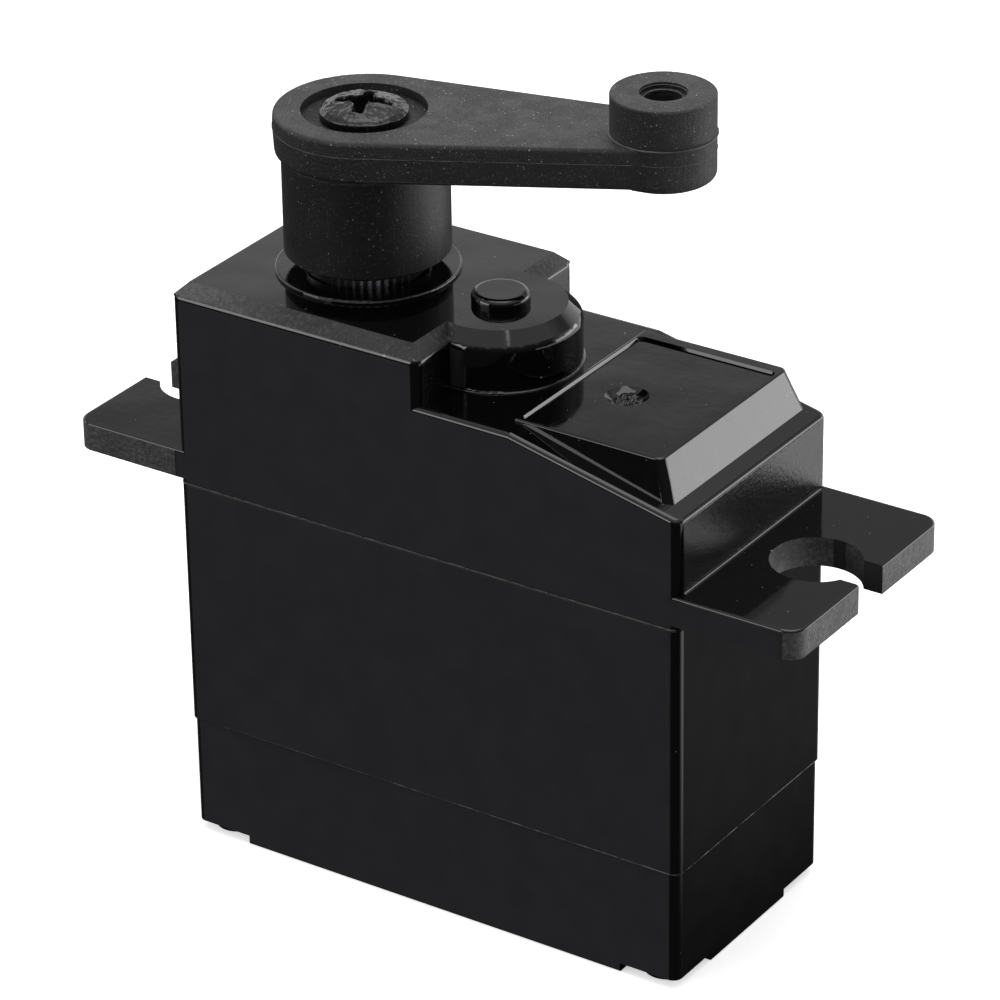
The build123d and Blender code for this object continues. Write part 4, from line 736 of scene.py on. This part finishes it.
def make_camera():
    """The camera looks down onto the -Y side, from the motor end."""
    right = Vector((cos(CAMERA_AZIMUTH), sin(CAMERA_AZIMUTH), 0))
    back = Vector(
        (
            sin(CAMERA_AZIMUTH) * cos(CAMERA_ELEVATION),
            -cos(CAMERA_AZIMUTH) * cos(CAMERA_ELEVATION),
            sin(CAMERA_ELEVATION),
        )
    )
    up = back.cross(right)
    rolled_right = cos(CAMERA_ROLL) * right + sin(CAMERA_ROLL) * up
    rolled_up = cos(CAMERA_ROLL) * up - sin(CAMERA_ROLL) * right
    camera = bpy.data.objects.new("camera", bpy.data.cameras.new("camera"))
    camera.data.lens = CAMERA_LENS
    camera.data.sensor_width = 36
    camera.data.clip_start = 0.01
    camera.data.clip_end = 20
    rotation = Matrix((rolled_right, rolled_up, back)).transposed().to_4x4()
    camera.matrix_world = Matrix.Translation(CAMERA_TARGET + CAMERA_DISTANCE * back) @ rotation
    bpy.context.scene.collection.objects.link(camera)
    bpy.context.scene.camera = camera


make_camera()


# ---------------------------------------------------------------- studio


def softbox(name, toward, distance, width, height, radiance):
    """A rectangular light seen from the part in one direction, facing the part."""
    centre = Vector((7, 0, 20)) * MM
    light = bpy.data.lights.new(name, "AREA")
    light.shape = "RECTANGLE"
    light.size = width
    light.size_y = height
    light.energy = radiance * pi * width * height
    lamp = bpy.data.objects.new(name, light)
    direction = Vector(toward).normalized()
    lamp.matrix_world = (
        Matrix.Translation(centre + direction * distance)
        @ direction.to_track_quat("Z", "Y").to_matrix().to_4x4()
    )
    bpy.context.scene.collection.objects.link(lamp)
    return lamp


def studio_floor():
    """A pale sweep that shows white to the camera; its reflection is pale at the back right only."""
    mesh = bpy.data.meshes.new("studio_floor")
    builder = bmesh.new()
    bmesh.ops.create_circle(builder, cap_ends=True, segments=96, radius=6.0)
    builder.to_mesh(mesh)
    builder.free()
    floor = bpy.data.objects.new("studio_floor", mesh)
    bpy.context.scene.collection.objects.link(floor)
    s = Shader("studio_floor")
    rays = s.node("ShaderNodeLightPath")
    tone = s.mix(s.noise(0.02, 2.0), grey(0.86), grey(0.88))
    pale = s.node("ShaderNodeBsdfDiffuse", {"Color": tone})
    glow = s.node("ShaderNodeEmission", {"Color": grey(1.0), "Strength": 0.55})
    lit = s.node("ShaderNodeAddShader", {0: pale.outputs[0], 1: glow.outputs[0]})
    x_mm, y_mm, _ = s.split(s.mm)
    x_mm = s.math("SUBTRACT", x_mm, 20.0)
    beyond = s.math("ADD", s.math("MULTIPLY", x_mm, 0.17), s.math("MULTIPLY", y_mm, 0.98))
    lit_part = s.math("MULTIPLY", s.ramp(beyond, -5.0, 12.0), s.ramp(x_mm, 0.0, 15.0))
    strength = s.ramp(lit_part, 0.0, 1.0, 0.06, 1.4, smooth=False)
    dim = s.node("ShaderNodeEmission", {"Color": grey(1.0), "Strength": strength})
    shown = s.node(
        "ShaderNodeMixShader",
        {0: rays.outputs["Is Camera Ray"], 1: dim.outputs[0], 2: lit.outputs[0]},
    )
    s.tree.links.new(shown.outputs[0], s.output.inputs[0])
    mesh.materials.append(s.material)


def sky_ramp(tree, height, *stops):
    """Radiance by the direction's height, from (height, radiance) stops up to radiance 2."""
    ramp = tree.nodes.new("ShaderNodeValToRGB")
    tree.links.new(height, ramp.inputs[0])
    while len(ramp.color_ramp.elements) < len(stops):
        ramp.color_ramp.elements.new(0.5)
    for element, (place, radiance) in zip(ramp.color_ramp.elements, stops):
        element.position = place
        element.color = grey(radiance / 2)
    return ramp.outputs[0]


def studio_world():
    """White to the camera; to the part, a soft sky, brighter low down behind and high up."""
    world = bpy.data.worlds.new("studio")
    world.use_nodes = True
    tree = world.node_tree
    tree.nodes.clear()
    rays = tree.nodes.new("ShaderNodeLightPath")
    coords = tree.nodes.new("ShaderNodeTexCoord").outputs["Generated"]
    parts = tree.nodes.new("ShaderNodeSeparateXYZ")
    tree.links.new(coords, parts.inputs[0])
    behind = tree.nodes.new("ShaderNodeVectorMath")
    behind.operation = "DOT_PRODUCT"
    tree.links.new(coords, behind.inputs[0])
    behind.inputs[1].default_value = (-0.45, 0.89, 0.0)
    back_part = tree.nodes.new("ShaderNodeMapRange")
    back_part.inputs["From Min"].default_value = -0.2
    back_part.inputs["From Max"].default_value = 0.2
    tree.links.new(behind.outputs["Value"], back_part.inputs[0])
    height = parts.outputs[2]
    back = sky_ramp(
        tree,
        height,
        (0.0, 1.3),
        (0.3, 1.2),
        (0.4, 0.85),
        (0.425, 0.62),
        (0.445, 0.34),
        (0.52, 0.33),
        (0.7, 0.8),
    )
    front = sky_ramp(tree, height, (0.0, 0.06), (0.45, 0.15), (0.65, 0.8), (1.0, 0.8))
    sky = tree.nodes.new("ShaderNodeMix")
    sky.data_type = "RGBA"
    tree.links.new(back_part.outputs[0], sky.inputs[0])
    tree.links.new(front, sky.inputs[6])
    tree.links.new(back, sky.inputs[7])
    soft = tree.nodes.new("ShaderNodeBackground")
    tree.links.new(sky.outputs[2], soft.inputs["Color"])
    soft.inputs["Strength"].default_value = 2.0
    white = tree.nodes.new("ShaderNodeBackground")
    white.inputs["Color"].default_value = grey(1.0)
    chosen = tree.nodes.new("ShaderNodeMixShader")
    tree.links.new(rays.outputs["Is Camera Ray"], chosen.inputs[0])
    tree.links.new(soft.outputs[0], chosen.inputs[1])
    tree.links.new(white.outputs[0], chosen.inputs[2])
    output = tree.nodes.new("ShaderNodeOutputWorld")
    tree.links.new(chosen.outputs[0], output.inputs[0])
    bpy.context.scene.world = world


studio_floor()
studio_world()
softbox("right_back_box", (0.68, 0.73, 0.0), 0.6, 0.5, 0.24, 3.7)
softbox("left_front_box", (-0.5, -0.78, 0.26), 0.6, 0.4, 0.24, 4.2)
softbox("top_box", (0.0, 0.1, 1.0), 0.7, 0.6, 0.6, 2.2)
bpy.context.scene.view_settings.view_transform = "Standard"
